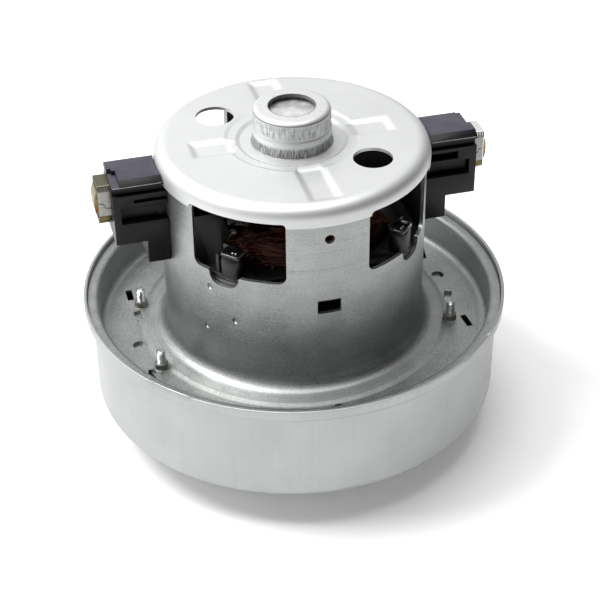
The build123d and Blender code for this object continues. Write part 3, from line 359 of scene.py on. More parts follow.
def raised(tree, shader, height, depth, strength=1.0):
    """Bumps of the given depth in millimetres."""
    node = tree.nodes.new("ShaderNodeBump")
    node.inputs["Strength"].default_value = strength
    node.inputs["Distance"].default_value = depth * mm
    tree.links.new(height, node.inputs["Height"])
    tree.links.new(node.outputs[0], shader.inputs["Normal"])
    return node


def shaded(colour, share):
    return tuple(min(1, part * share) for part in colour)


def coloured(tree, shader, colour, marks, smooth, rough, low=0.3):
    """Gives the shader its colour, and a roughness that the marks vary."""
    tree.links.new(colour, shader.inputs["Base Color"])
    tree.links.new(eased(tree, marks, low, 0.7, smooth, rough), shader.inputs["Roughness"])


drum_finish, tree, shader = finish_of("drum_zinc", drum_colour, 0.9, 0.5)
wall_place = round_place(tree, drum_radius)
streaks = grain(tree, wall_place, drum_streak_width, 3, (1, 1, 40))
blotches = grain(tree, wall_place, 14, 3)
speckle = grain(tree, place_of(tree), drum_grain, 2)
tone = worked(
    tree, "ADD", eased(tree, streaks, 0.3, 0.7, 0, 0.3), eased(tree, blotches, 0.3, 0.7, 0, 0.7)
)
plain = tinted(tree, tone, shaded(drum_colour, 0.93), shaded(drum_colour, 1.07))
coloured(tree, shader, plain, speckle, 0.42, 0.55)
raised(tree, shader, streaks, 0.012, 0.3)

cover = turned(
    [
        (eye_radius, 3.5, 0),
        (eye_radius, 0, 1.6),
        (31.5, 0, 2.5),
        (52.5, 4, 2.5),
        (55, drum_bottom, 1),
        (drum_radius, drum_bottom, 3),
        (drum_radius, shoulder_height, 1),
        (lip_radius, shoulder_height, 1.2),
        *((lip_radius, rim_height + step * 0.3, 0) for step in range(5)),
        (lip_radius, lip_top, 0),
    ],
    cover_steps,
    wall=cover_sheet,
)
rim = [
    edge
    for edge in cover.edges
    if min(vertex.co.z for vertex in edge.verts) > (lip_top - 0.01) * mm
    and edge.calc_face_angle() > radians(60)
]
edged(cover, rim, rim_bend, 2, False)
for vertex in cover.verts:
    place = vertex.co / mm
    rise = min(1, max(0, (place.z - crimp_root) / (lip_top - crimp_root)))
    for azimuth in crimp_azimuths:
        off = (degrees(atan2(place.y, place.x)) - azimuth + 180) % 360 - 180
        beside = abs(radians(off)) * lip_radius
        share = min(1, max(0, ((crimp_width + crimp_fade) / 2 - beside) / crimp_fade)) * rise
        punch = max(0, 1 - abs(beside - crimp_width / 2) / punch_half) * rise
        inside = hypot(place.x, place.y) < lip_radius - cover_sheet / 2
        pull = (crimp_reach_inside if inside else crimp_reach_outside) * share
        pull += punch_reach * punch
        vertex.co.x -= pull * cos(radians(azimuth + off)) * mm
        vertex.co.y -= pull * sin(radians(azimuth + off)) * mm
        vertex.co.z -= (crimp_drop * share * inside + punch_drop * punch) * mm
cover_piece = pieced(cover, "fan_cover_drum", drum_finish)
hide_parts("fan_cover")


# Motor frame: the can and its flange, deep-drawn from one grainy galvanised sheet. The
# windows, slots and holes are punched, and four collars are drawn up round the screws.
frame_sheet = 1.2
frame_steps = 360
can_radius = 41.2
can_top = 96.4
can_inside = 30.0
window_sill = 73.8
window_head = 95.2
window_half = 15.0
window_azimuths = (50.9, 129.1, -129.1, -50.9)
dip_half = 5.0
dip_floor = 69.6
dip_shift = 4.235
neck_half = 5.62
neck_floor = 79.73
well_top = 34.7
screw_radius = 50.6
screw_azimuths = (-20, 20, 160, 200)
screw_hole_radius = 1.52
pilot_radius = 1.5
pilot_height = 88.6
side_slot_half = 3.6
side_slot_low = 62.7
side_slot_high = 67.3
punch_start = -2
punch_end = 4
frame_colour = (0.385, 0.40, 0.39)
step_line = 78.3
dent_radius = 1.2
dent_depth = 1.6
dent_spots = ((-142, 67.9), (-144.5, 52.8), (-130, 58.2), (-31, 65))


def prism(corners, near, far):
    """A closed outline, across in X and up in Z, pushed out along -Y from near to far."""
    block = bent_line(corners, True)
    bmesh.ops.edgenet_fill(block, edges=block.edges[:])
    bmesh.ops.translate(block, verts=block.verts[:], vec=(0, -near * mm, 0))
    pushed = bmesh.ops.extrude_face_region(block, geom=block.faces[:])
    ends = [part for part in pushed["geom"] if isinstance(part, bmesh.types.BMVert)]
    bmesh.ops.translate(block, verts=ends, vec=(0, (near - far) * mm, 0))
    bmesh.ops.recalc_face_normals(block, faces=block.faces)
    return block


def box_outline(half_width, low, high, bend=0.0):
    return [
        (-half_width, low, bend),
        (half_width, low, bend),
        (half_width, high, bend),
        (-half_width, high, bend),
    ]


def round_outline(radius, steps=28):
    return [(radius * cos(tau * k / steps), radius * sin(tau * k / steps), 0) for k in range(steps)]


def gather(whole, block, matrix=None):
    """Adds a copy of the block, placed by the matrix, to the whole."""
    data = bpy.data.meshes.new("block")
    block.to_mesh(data)
    data.transform(matrix or Matrix.Identity(4))
    whole.from_mesh(data)
    bpy.data.meshes.remove(data)


def swung(azimuth):
    return Matrix.Rotation(radians(azimuth), 4, "Z")


def moved(x, y, z):
    return Matrix.Translation(Vector((x, y, z)) * mm)


def faced(azimuth):
    """Turns what faces -Y to the azimuth."""
    return swung(azimuth + 90)


def stood(radius, azimuth, height, spin=0):
    """Lays what runs along -Y upright at a place round the axis, its top at the height."""
    upright = Matrix.Rotation(pi / 2, 4, "X")
    return swung(azimuth) @ moved(radius, 0, height) @ swung(spin) @ upright


def coil_side(azimuth):
    """Which way round the axis the brush holder lies from a window or post: 1 or -1."""
    return 1 if azimuth * (abs(azimuth) - 90) > 0 else -1


def pierced(whole, tools):
    """The whole with all that lies inside the tools cut away."""
    held = []
    for name, mesh in (("whole", whole), ("tools", tools)):
        data = bpy.data.meshes.new(name)
        mesh.to_mesh(data)
        mesh.free()
        held.append(bpy.data.objects.new(name, data))
        bpy.context.scene.collection.objects.link(held[-1])
    cut = held[0].modifiers.new("cut", "BOOLEAN")
    cut.operation = "DIFFERENCE"
    cut.solver = "EXACT"
    cut.object = held[1]
    ready = held[0].evaluated_get(bpy.context.evaluated_depsgraph_get())
    data = bpy.data.meshes.new_from_object(ready)
    result = bmesh.new()
    result.from_mesh(data)
    bpy.data.meshes.remove(data)
    for piece in held:
        data = piece.data
        bpy.data.objects.remove(piece)
        bpy.data.meshes.remove(data)
    return result


can = turned(
    [
        (66.25, rim_height, 0),
        (62.8, rim_height, 1.5),
        (62.8, well_top, 2.2),
        (49.8, well_top, 2.5),
        (48.2, 35.2, 2),
        (45.0, 35.7, 6),
        (can_radius, 36.9, 4.6),
        (can_radius, can_top, 0),
    ],
    frame_steps,
    wall=frame_sheet,
)
tools = bmesh.new()
for azimuth in window_azimuths:
    shift = dip_shift * coil_side(azimuth)
    window = prism(
        [
            (-window_half, window_sill, 2.4),
            (shift - dip_half, window_sill, 0.6),
            (shift - dip_half, dip_floor, 3.5),
            (shift + dip_half, dip_floor, 3.5),
            (shift + dip_half, window_sill, 0.6),
            (window_half, window_sill, 2.4),
            (window_half, window_head, 2.4),
            (-window_half, window_head, 2.4),
        ],
        can_inside,
        can_radius + 2,
    )
    gather(tools, window, faced(azimuth))
for azimuth in (0, 180):
    neck = prism(box_outline(neck_half, neck_floor, can_top + 1, 0.4), can_inside, can_radius + 2)
    gather(tools, neck, faced(azimuth))
for azimuth in (-90, 90):
    pilot = [(x, z + pilot_height, bend) for x, z, bend in round_outline(pilot_radius)]
    slot = box_outline(side_slot_half, side_slot_low, side_slot_high, 0.35)
    for outline in (pilot, slot):
        gather(tools, prism(outline, can_inside, can_radius + 2), faced(azimuth))
for radius, azimuth, spin, outline in (
    *((screw_radius, turn, 0, round_outline(screw_hole_radius)) for turn in screw_azimuths),
    (52.6, 7.9, 0, round_outline(2.05)),
    (52.3, 184.6, 0, round_outline(2.05)),
    (51.5, 90, 0, round_outline(1.6)),
    (51.5, -90, 0, round_outline(1.6)),
    (51.5, -5.8, -20, box_outline(1.3, -2.5, 2.5, 0.2)),
    (50.9, 166.9, 15, box_outline(1.15, -2.6, 2.6, 0.2)),
    (56.1, -21.1, 24, box_outline(1.0, -3.1, 3.1, 0.2)),
    (55.6, 154.6, 24, box_outline(1.05, -2.9, 2.9, 0.2)),
    (55.2, 22.0, -32, box_outline(1.2, -2.9, 2.9, 0.2)),
    (55.2, 202.0, -32, box_outline(1.2, -2.9, 2.9, 0.2)),
):
    hole = prism(outline, punch_start, punch_end)
    gather(tools, hole, stood(radius, azimuth, well_top, spin))
can = pierced(can, tools)

frame_finish, tree, shader = finish_of("frame_galvanised", frame_colour, 1.0, 0.5)
wall_place = round_place(tree, can_radius)
crystals = grain(tree, place_of(tree), 0.42, 3)
clouds = grain(tree, place_of(tree), 9, 3)
hoops = grain(tree, wall_place, 0.7, 3, (60, 1, 1))
height = parted(tree, place_of(tree))[2]
from_line = worked(tree, "ABSOLUTE", worked(tree, "SUBTRACT", height, step_line * mm))
line = eased(tree, from_line, 0, 0.3 * mm, 1.5, 0)
tone = worked(
    tree, "ADD", eased(tree, clouds, 0.3, 0.7, 0, 0.25), eased(tree, hoops, 0.3, 0.7, 0, 0.15)
)
tone = worked(tree, "ADD", eased(tree, crystals, 0.32, 0.68, 0, 0.6), tone)
plain = tinted(tree, tone, shaded(frame_colour, 0.58), shaded(frame_colour, 1.32))
coloured(tree, shader, plain, crystals, 0.36, 0.56)
frame_relief = worked(tree, "ADD", worked(tree, "ADD", crystals, hoops), line)
frame_bump = raised(tree, shader, frame_relief, 0.045, 0.6)


def dents(tree, spots, wall_radius, size):
    """Small round hollows at places (azimuth, height) of a wall: 0 outside, down to -1."""
    deepest = 0
    for azimuth, height in spots:
        away = tree.nodes.new("ShaderNodeVectorMath")
        away.operation = "DISTANCE"
        tree.links.new(place_of(tree), away.inputs[0])
        away.inputs[1].default_value = (swung(azimuth) @ moved(wall_radius, 0, height)).translation
        hollow = eased(tree, away.outputs["Value"], 0, size * mm, -1, 0)
        hollow.node.interpolation_type = "SMOOTHSTEP"
        deepest = worked(tree, "MINIMUM", hollow, deepest)
    return deepest


dent_bump = tree.nodes.new("ShaderNodeBump")
dent_bump.inputs["Distance"].default_value = dent_depth * mm
tree.links.new(dents(tree, dent_spots, can_radius, dent_radius), dent_bump.inputs["Height"])
tree.links.new(dent_bump.outputs[0], frame_bump.inputs["Normal"])
frame_piece = pieced(can, "motor_frame_can", frame_finish)

# The collars are drawn up out of the flange and are coloured darker than it.
collar_radius = 2.12
collar_height = 2.1
collar = turned(
    [
        (screw_hole_radius, -0.6, 0),
        (2.5, -0.1, 0),
        (collar_radius, 0.1, 0.2),
        (collar_radius, collar_height, 0.25),
        (screw_hole_radius, collar_height, 0.1),
    ],
    32,
    closed=True,
)
collars = bmesh.new()
for azimuth in screw_azimuths:
    gather(collars, collar, swung(azimuth) @ moved(screw_radius, 0, well_top))
collar_finish, tree, shader = finish_of("collar_drawn", (0.24, 0.24, 0.21), 1.0, 0.5)
rubbed = grain(tree, place_of(tree), 0.4, 3)
plain = tinted(tree, eased(tree, rubbed), (0.17, 0.17, 0.145), (0.32, 0.32, 0.28))
coloured(tree, shader, plain, rubbed, 0.4, 0.6)
pieced(collars, "screw_collars", collar_finish)
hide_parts("motor_frame")

# End cap: a lid pressed from satin zinc-coated sheet, with the upper bearing's boss in
# its middle, a groove and a dish round that, four sunken channels and two round vents.
# It is pressed over the can, and its skirt is cut back over the windows.
cap_sheet = 1.0
cap_steps = 400
cap_radius = 42.3
cap_top = 100.0
skirt_foot = 93.7
dish_edge = 20.8
shoulder_start = 38.3
channel_start = 18.9
channel_ends = ((0, 31.9), (90, 38.2), (180, 31.9), (-90, 38.2))
channel_half = 5.2
channel_depth = 0.9
channel_slope = 2.5
vent_radius = 6.0
vent_place = 27.4
vent_azimuths = (-44, 136)
boss_radius = 11.9
boss_top = 110.7
cap_colour = (0.69, 0.70, 0.695)
boss_foot_radius = 12.15
boss_step = 104.0
groove_floor = 98.9
hole_radius = 7.15
cap_inside = 38.0
neck_head = 96.27
scratch_width = 0.22
rub_band = (97.5, 102.2)
weave_band = (104.8, 109.2)
seam_height = 109.7

lid = turned(
    [
        (cap_radius, skirt_foot, 0),
        (cap_radius, cap_top, 4),
        *(
            (shoulder_start - step * 0.5, cap_top, 0)
            for step in range(1, round((shoulder_start - dish_edge) / 0.5))
        ),
        (dish_edge, cap_top, 0.6),
        (19.6, 99.6, 0.6),
        (17.2, 99.6, 0.6),
        (16.0, groove_floor, 0.7),
        (boss_foot_radius, groove_floor, 0.5),
        (boss_foot_radius, boss_step, 0.3),
        (boss_radius, boss_step + 0.5, 0.3),
        (boss_radius, boss_top, 1.6),
        (hole_radius, boss_top, 0),
    ],
    cap_steps,
    wall=cap_sheet,
)
for vertex in lid.verts:
    place = vertex.co / mm
    radius = hypot(place.x, place.y)
    if radius < 17.6 or radius > shoulder_start + 0.5 or place.z < 97:
        continue
    for azimuth, end in channel_ends:
        along = place.x * cos(radians(azimuth)) + place.y * sin(radians(azimuth))
        beside = abs(place.y * cos(radians(azimuth)) - place.x * sin(radians(azimuth)))
        inside = min(along - channel_start + 1.3, end - along, channel_half - beside)
        share = min(1, max(0, inside / channel_slope))
        share = share * share * (3 - 2 * share)
        top = cap_top if place.z > 99.3 else cap_top - cap_sheet
        vertex.co.z = min(vertex.co.z, (top - channel_depth * share) * mm)
tools = bmesh.new()
for azimuth in vent_azimuths:
    vent = prism(round_outline(vent_radius, 64), -3, 4)
    gather(tools, vent, stood(vent_place, azimuth, cap_top))
notch = box_outline(window_half + 0.5, skirt_foot - 3, skirt_foot + 1.4, 1.2)
neck = box_outline(neck_half, skirt_foot - 2, neck_head)
for outline, azimuths in ((notch, window_azimuths), (neck, (0, 180))):
    for azimuth in azimuths:
        gather(tools, prism(outline, cap_inside, cap_radius + 2), faced(azimuth))
lid = pierced(lid, tools)

cap_finish, tree, shader = finish_of("cap_zinc", cap_colour, 0.8, 0.52)
height = parted(tree, place_of(tree))[2]
reach = axis_distance(tree)
satin = grain(tree, place_of(tree), 0.3, 2)
clouds = grain(tree, place_of(tree), 16, 3)
boss_place = round_place(tree, boss_radius)
from_wall = worked(tree, "ABSOLUTE", worked(tree, "SUBTRACT", reach, boss_radius * mm))
on_boss = eased(tree, from_wall, 0.5 * mm, 0.9 * mm, 1, 0)


def band(low, high, fade):
    """1 between two heights of the boss's side, fading out over fade millimetres."""
    rising = eased(tree, height, (low - fade) * mm, (low + fade) * mm)
    falling = eased(tree, height, (high - fade) * mm, (high + fade) * mm, 1, 0)
    return worked(tree, "MULTIPLY", worked(tree, "MULTIPLY", rising, falling), on_boss)


rubs = eased(tree, grain(tree, boss_place, scratch_width, 3, (1, 1, 14)), 0.4, 0.56, 0.35, 1)
weave = worked(
    tree,
    "MULTIPLY",
    eased(tree, grain(tree, boss_place, 0.5, 2, (1, 1, 6)), 0.4, 0.65),
    eased(tree, grain(tree, boss_place, 0.3, 2, (12, 1, 1)), 0.35, 0.65, 0.4, 1),
)
marks = worked(
    tree,
    "MULTIPLY",
    eased(tree, grain(tree, place_of(tree), 1.1, 4), 0.62, 0.7, 0, 0.3),
    eased(tree, reach, 24 * mm, 20 * mm),
)
for layer in (
    worked(tree, "MULTIPLY", rubs, band(*rub_band, 0.5)),
    worked(tree, "MULTIPLY", worked(tree, "MULTIPLY", weave, band(*weave_band, 0.5)), 0.75),
    band(seam_height - 0.12, seam_height + 0.12, 0.1),
    # painted shade: the wall of the hole in the boss is darkened
    eased(tree, reach, (hole_radius + 0.05) * mm, (hole_radius + 0.3) * mm, 0.97, 0),
):
    marks = worked(tree, "MAXIMUM", marks, layer)
tone = worked(
    tree, "ADD", eased(tree, satin, 0.3, 0.7, 0, 0.4), eased(tree, clouds, 0.3, 0.7, 0, 0.6)
)
plain = tinted(tree, tone, shaded(cap_colour, 0.96), shaded(cap_colour, 1.04))
plain = tinted(tree, marks, plain, shaded(cap_colour, 0.22))
coloured(tree, shader, plain, satin, 0.48, 0.58)
cap_relief = worked(tree, "SUBTRACT", satin, worked(tree, "MULTIPLY", marks, 2))
raised(tree, shader, cap_relief, 0.015, 0.4)
lid_piece = pieced(lid, "end_cap_lid", cap_finish)
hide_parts("end_cap")

# Flange screws: zinc-plated thread-forming screws, put in from below, whose threaded
# ends stand out of the collars.
thread_pitch = 0.5
thread_crest = 1.48
thread_root = 1.2
thread_foot = 33.0
thread_turns = 15
thread_steps = 18
thread_end = thread_foot + thread_turns * thread_pitch
screw_head_radius = 2.7
screw_head_low = 16.9
screw_head_high = 19.1
screw_rod = 1.45
screw_tip = 41.0

thread = bmesh.new()
zigzag = []
for turn in range(thread_turns):
    for radius, part in ((thread_root, 0), (thread_crest, 0.42), (thread_crest, 0.58)):
        height = thread_foot + (turn + part) * thread_pitch
        zigzag.append(thread.verts.new((radius * mm, 0, height * mm)))
zigzag.append(thread.verts.new((thread_root * mm, 0, thread_end * mm)))
for pair in zip(zigzag, zigzag[1:]):
    thread.edges.new(pair)
bmesh.ops.spin(
    thread,
    geom=thread.verts[:] + thread.edges[:],
    cent=(0, 0, 0),
    axis=(0, 0, 1),
    dvec=(0, 0, thread_pitch * mm / thread_steps),
    angle=tau,
    steps=thread_steps,
)
bmesh.ops.remove_doubles(thread, verts=thread.verts, dist=0.004 * mm)
bmesh.ops.recalc_face_normals(thread, faces=thread.faces)
rod = turned(
    [
        (0.0, screw_head_low, 0),
        (screw_head_radius, screw_head_low, 0.3),
        (screw_head_radius, screw_head_high, 0.3),
        (screw_rod, screw_head_high, 0),
        (screw_rod, thread_foot + 0.4, 0),
        (thread_root + 0.02, thread_foot + 0.6, 0),
        (thread_root + 0.02, screw_tip - 0.25, 0.2),
        (0.75, screw_tip, 0.1),
        (0.0, screw_tip, 0),
    ],
    24,
)
screws = bmesh.new()
for azimuth in screw_azimuths:
    for part in (thread, rod):
        gather(screws, part, swung(azimuth) @ moved(screw_radius, 0, 0))
screw_finish, tree, shader = finish_of("screw_zinc", (0.72, 0.73, 0.75), 1.0, 0.25)
dust = grain(tree, place_of(tree), 0.4, 2)
plain = tinted(tree, eased(tree, dust, 0.4, 0.65), (0.60, 0.61, 0.63), (0.47, 0.475, 0.46))
coloured(tree, shader, plain, dust, 0.32, 0.42, 0.35)
screw_piece = pieced(screws, "flange_screw_set", screw_finish, 28)
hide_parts("flange_screws")


# Upper bearing: a bright pressed disc closes the boss, a wave washer under the cap
# loads the bearing, and its ground rings and pressed shields lie below.


def dressed(finish, *nodes):
    for node in nodes:
        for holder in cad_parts[node].material_slots:
            holder.material = finish


def metal_finish(name, colour, roughness, grain_size, stretch=None, depth=0.01):
    """Bare metal with a fine grain that varies its tone and gloss."""
    finish, tree, shader = finish_of(name, colour, 1.0, roughness)
    marks = grain(tree, place_of(tree), grain_size, 3, stretch)
    plain = tinted(tree, eased(tree, marks), shaded(colour, 0.85), shaded(colour, 1.1))
    coloured(tree, shader, plain, marks, roughness - 0.07, roughness + 0.08)
    raised(tree, shader, marks, depth, 0.5)
    return finish


def moulded_finish(name, colour, roughness, grain_size, depth=0.015):
    """Moulded plastic with a fine matt grain."""
    finish, tree, shader = finish_of(name, colour, 0.0, roughness)
    marks = grain(tree, place_of(tree), grain_size, 3)
    clouds = grain(tree, place_of(tree), 8, 2)
    plain = tinted(tree, eased(tree, clouds), shaded(colour, 0.85), shaded(colour, 1.2))
    coloured(tree, shader, plain, marks, roughness - 0.06, roughness + 0.1)
    raised(tree, shader, marks, depth, 0.5)
    return finish


disc_finish = metal_finish("disc_bright", (0.74, 0.74, 0.735), 0.5, 3.0, None, 0.002)
dressed(disc_finish, "bearing_cover_disc")
dressed(metal_finish("washer_spring", (0.32, 0.33, 0.34), 0.35, 0.4), "wave_washer")
ring_finish = metal_finish("ring_ground", (0.6, 0.61, 0.63), 0.22, 0.25, (1, 1, 0.2))
shield_finish = metal_finish("shield_pressed", (0.5, 0.5, 0.51), 0.35, 0.4)
for place in ("upper", "lower"):
    dressed(ring_finish, f"{place}_bearing_outer_ring", f"{place}_bearing_inner_ring")
    dressed(shield_finish, f"{place}_bearing_shields")

# Bearing bracket and diffuser: a zinc-coated plate whose cup carries the lower bearing,
# over a dark moulded plate whose curved vanes lead the air back to the axis.
dressed(metal_finish("bracket_zinc", (0.52, 0.53, 0.53), 0.42, 0.6), "lower_bracket")
dressed(moulded_finish("diffuser_moulding", (0.06, 0.06, 0.065), 0.5, 0.3), "diffuser")

# Impeller: aluminium sheets riveted to nine blades, clamped on the shaft between a
# spacer sleeve and a washer by a nut.
impeller_finish = metal_finish("impeller_sheet", (0.74, 0.75, 0.76), 0.34, 0.5, (1, 6, 6))
dressed(impeller_finish, "impeller_back_disc", "impeller_shroud", "impeller_blades")
clamp_finish = metal_finish("clamp_zinc", (0.66, 0.67, 0.68), 0.3, 0.4)
dressed(clamp_finish, "impeller_washer", "impeller_nut", "spacer_sleeve")
dressed(metal_finish("shaft_ground", (0.58, 0.59, 0.61), 0.2, 0.2, (1, 1, 0.15)), "shaft")

# Field and armature cores: stacks of stamped sheets, whose edges show as fine lines.
core_finish = metal_finish("core_sheets", (0.17, 0.17, 0.175), 0.5, 0.5, (30, 30, 1), 0.06)
dressed(core_finish, "field_core", "armature_core")

# Field coils: enamelled copper wire wound round each pole and bent to the armature's
# curve. The outermost loops and the ends are laid wire by wire over the bundle's core.
coil_outer = 31.0
coil_half_angle = 56.0
coil_low = 36.0
coil_high = 80.2
coil_wire = 0.6
coil_loops = 12
coil_layers = 9
coil_bend = 6.0
loop_step_high = 0.61
loop_step_side = 1.05
outer_wire = coil_outer - coil_wire / 2
copper_colour = (0.105, 0.026, 0.012)
shake = Random(11)


def polar(radius, azimuth, height):
    return (radius * cos(radians(azimuth)), radius * sin(radians(azimuth)), height)


def add_wire(whole, line, radius, closed=False, roundness=1):
    """Adds a wire that follows the line of places to the whole."""
    curve = bpy.data.curves.new("wire", "CURVE")
    curve.dimensions = "3D"
    curve.bevel_depth = radius * mm
    curve.bevel_resolution = roundness
    curve.use_fill_caps = True
    spline = curve.splines.new("POLY")
    spline.points.add(len(line) - 1)
    for point, place in zip(spline.points, line):
        point.co = (*(Vector(place) * mm), 1)
    spline.use_cyclic_u = closed
    carrier = bpy.data.objects.new("wire", curve)
    data = bpy.data.meshes.new_from_object(carrier)
    whole.from_mesh(data)
    bpy.data.meshes.remove(data)
    bpy.data.objects.remove(carrier)
    bpy.data.curves.remove(curve)


def coil_loop(azimuth, radius, inset_side, inset_end, bend):
    """One loop on the coil's curved face: across the top, down, back below and up again."""
    half = radius * radians(coil_half_angle) - inset_side
    low, high = coil_low + inset_end, coil_high - inset_end
    swing, lift = shake.uniform(0, tau), shake.uniform(0.04, 0.12)
    corners = [(half, high), (half, low), (-half, low), (-half, high)]
    line = []
    for index, (across, height) in enumerate(corners):
        bend_across = across - (bend if across > 0 else -bend)
        bend_height = height - (bend if height == high else -bend)
        for step in range(5):
            turn = radians(90 - 90 * index - 22.5 * step)
            line.append((bend_across + bend * cos(turn), bend_height + bend * sin(turn)))
        if index % 2:
            run = (bend - half) if index == 1 else (half - bend)
            line.extend((run * (1 - 2 * step / 13), height) for step in range(1, 13))
    places = []
    for across, height in line:
        wave = sin(across * 0.35 + swing) * lift
        places.append(polar(radius - abs(wave), azimuth + degrees(across / radius), height + wave))
    return places


copper_finish, tree, shader = finish_of("copper_enamelled", copper_colour, 0.75, 0.34)
tone = grain(tree, place_of(tree), 2.2, 3, (1, 1, 0.5))
tone = eased(tree, tone, 0.38, 0.66)
plain = tinted(tree, tone, shaded(copper_colour, 0.2), shaded(copper_colour, 1.3))
tree.links.new(plain, shader.inputs["Base Color"])
shader.inputs["Coat Weight"].default_value = 0.4
shader.inputs["Coat Roughness"].default_value = 0.2
for place, azimuth in (("front", -90), ("rear", 90)):
    coil = bmesh.new()
    coil.from_mesh(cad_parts[f"{place}_field_coil"].data)
    bmesh.ops.remove_doubles(coil, verts=coil.verts, dist=0.001 * mm)
    # Only the bundle's core stays of the solid; the wire of its outer layer is laid anew.
    for vertex in coil.verts:
        vertex.tag = hypot(*vertex.co.xy) > (coil_outer - 1.0) * mm
    seeds = [vertex for vertex in coil.verts if vertex.tag]
    layer = set(seeds)
    while seeds:
        vertex = seeds.pop()
        for edge in vertex.link_edges:
            other = edge.other_vert(vertex)
            if other not in layer:
                layer.add(other)
                seeds.append(other)
    bmesh.ops.delete(coil, geom=list(layer), context="VERTS")
    for vertex in coil.verts:
        vertex.co.z = min(max(vertex.co.z, (coil_low + 0.5) * mm), (coil_high - 0.5) * mm)
    for loop in range(coil_loops):
        inset = coil_wire / 2 + loop * loop_step_high + shake.uniform(-0.04, 0.04)
        side = coil_wire / 2 + loop * loop_step_side + shake.uniform(-0.2, 0.2)
        bend = coil_bend * (1 - 0.6 * loop / coil_loops)
        line = coil_loop(azimuth, outer_wire, side, inset, bend)
        add_wire(coil, line, coil_wire / 2, True)
    for loop in range(1, coil_layers):
        inset = coil_wire / 2 + shake.uniform(0, 0.25)
        line = coil_loop(azimuth, outer_wire - loop * loop_step_high, inset, inset, coil_bend)
        add_wire(coil, line, coil_wire / 2, True)
    coil_piece = pieced(coil, f"{place}_field_winding", copper_finish, 50)
    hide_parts(f"{place}_field_coil")

# Field insulators: dark moulded plates on both ends of the core. Four posts stand on the
# upper one behind the windows' dips, each a rounded column with a thin fin beside it.
post_azimuths = (45, 135, -135, -45)
post_radius = 36.4
post_foot = 72.5
fin_size = (2.0, 1.2, 6.5)
column_radius = 37.6
column_wide = (5.8, 6.5)
column_low = 70.2
column_top = 80.0


def softened(node, width, crease=30):
    """A copy of the node's solid, its edges rounded off by width millimetres."""
    copy = bmesh.new()
    copy.from_mesh(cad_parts[node].data)
    bmesh.ops.remove_doubles(copy, verts=copy.verts, dist=0.002 * mm)
    bmesh.ops.dissolve_limit(copy, angle_limit=radians(1), verts=copy.verts, edges=copy.edges)
    edges = [
        edge
        for edge in copy.edges
        if len(edge.link_faces) == 2 and edge.calc_face_angle() > radians(crease)
    ]
    edged(copy, edges, width, 2)
    return copy


def cut_above(mesh, height):
    """Takes all above the height away and closes the cut."""
    bmesh.ops.bisect_plane(
        mesh,
        geom=mesh.verts[:] + mesh.edges[:] + mesh.faces[:],
        plane_co=(0, 0, height * mm),
        plane_no=(0, 0, 1),
        clear_outer=True,
    )
    bmesh.ops.holes_fill(mesh, edges=[edge for edge in mesh.edges if edge.is_boundary])


def block(size, bend):
    """A box about the origin with all its edges rounded off."""
    shape = bmesh.new()
    bmesh.ops.create_cube(shape, size=mm)
    bmesh.ops.scale(shape, verts=shape.verts, vec=size)
    edged(shape, shape.edges[:], bend, 3)
    return shape


insulator_finish = moulded_finish("insulator_moulding", (0.0055, 0.005, 0.0065), 0.42, 0.25)
upper_insulator = softened("upper_field_insulator", 0.25)
cut_above(upper_insulator, post_foot + 0.05)
column = block((*column_wide, column_top - column_low), 2.5)
fin = block(fin_size, 0.3)
for azimuth in post_azimuths:
    toward = coil_side(azimuth)
    column_place = moved(column_radius, -toward, (column_low + column_top) / 2)
    fin_place = moved(column_radius + 0.6, toward * 3.2, post_foot + 3.1)
    gather(upper_insulator, column, swung(azimuth) @ column_place)
    gather(upper_insulator, fin, swung(azimuth) @ fin_place)
upper_piece = pieced(
    upper_insulator, "upper_insulator_moulding", insulator_finish
)
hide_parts("upper_field_insulator")
lower_insulator = softened("lower_field_insulator", 0.2)
lower_piece = pieced(
    lower_insulator, "lower_insulator_moulding", insulator_finish
)
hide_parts("lower_field_insulator")

# The terminals: a tarnished tray on each post, with a painted highlight wire on its edges,
# beads of solder, a painted glint below, and the coil's two leads, which run in over the coil's
# end.
tray_radius = 38.4
tray_top = 80.9
tray_shift = 2.0
tray_size = (4.6, 6.4, 1.3)
rim_wire = 0.17
bead_radius = 0.4
lead_wire = 0.3
rim_corners = (
    (-1.9, 3.1, 0.1),
    (1.7, 3.1, 0.0),
    (2.3, 2.4, 0.0),
    (2.35, -2.4, 0.0),
    (1.8, -3.1, 0.05),
    (-1.9, -3.1, 0.15),
)

terminals = softened("field_terminals", 0.12)
cut_above(terminals, tray_top + 0.7)
tray = block(tray_size, 0.45)
bead = bmesh.new()
bmesh.ops.create_uvsphere(bead, u_segments=12, v_segments=8, radius=bead_radius * mm)
rim_highlights_and_solder = bmesh.new()
leads = bmesh.new()
for azimuth in post_azimuths:
    turn = swung(azimuth)
    toward = coil_side(azimuth)
    tray_place = moved(tray_radius, -toward * tray_shift, tray_top - tray_size[2] / 2)
    gather(terminals, tray, turn @ tray_place)
    # painted highlight: a bright wire along the tray's edges stands in for the light they catch
    rim_line = [
        (tray_radius + x, (y - tray_shift) * toward, tray_top + z) for x, y, z in rim_corners
    ]
    add_wire(rim_highlights_and_solder, [(turn @ Vector(place))[:] for place in rim_line], rim_wire)
    # the first two beads are solder; the third, on the post below the tray, is a painted glint
    for reach, across, height in ((0.9, -2.4, 0.1), (0.9, -3.5, 0.1), (1.2, -2.6, -3.4)):
        spot = moved(tray_radius + reach, across * toward, tray_top + height)
        gather(rim_highlights_and_solder, bead, turn @ spot)
    away = 1 if azimuth in (45, -135) else -1
    for strand in range(2):
        lead = [
            (post_radius - 0.4, 5, tray_top + 0.4 + strand * 0.4),
            (post_radius - 2.0, 8, tray_top + 2.0 + strand * 0.6),
            (post_radius - 4.6, 14, tray_top + 1.6 + strand * 0.5),
            (coil_outer - 1.5, 20, coil_high + 0.7 + strand * 0.3),
            (coil_outer - 2.5, 30, coil_high + 0.2),
            (coil_outer - 3.0, 40, coil_high - 0.3),
        ]
        line = [polar(radius, azimuth + away * turn, height) for radius, turn, height in lead]
        add_wire(leads, line, lead_wire)
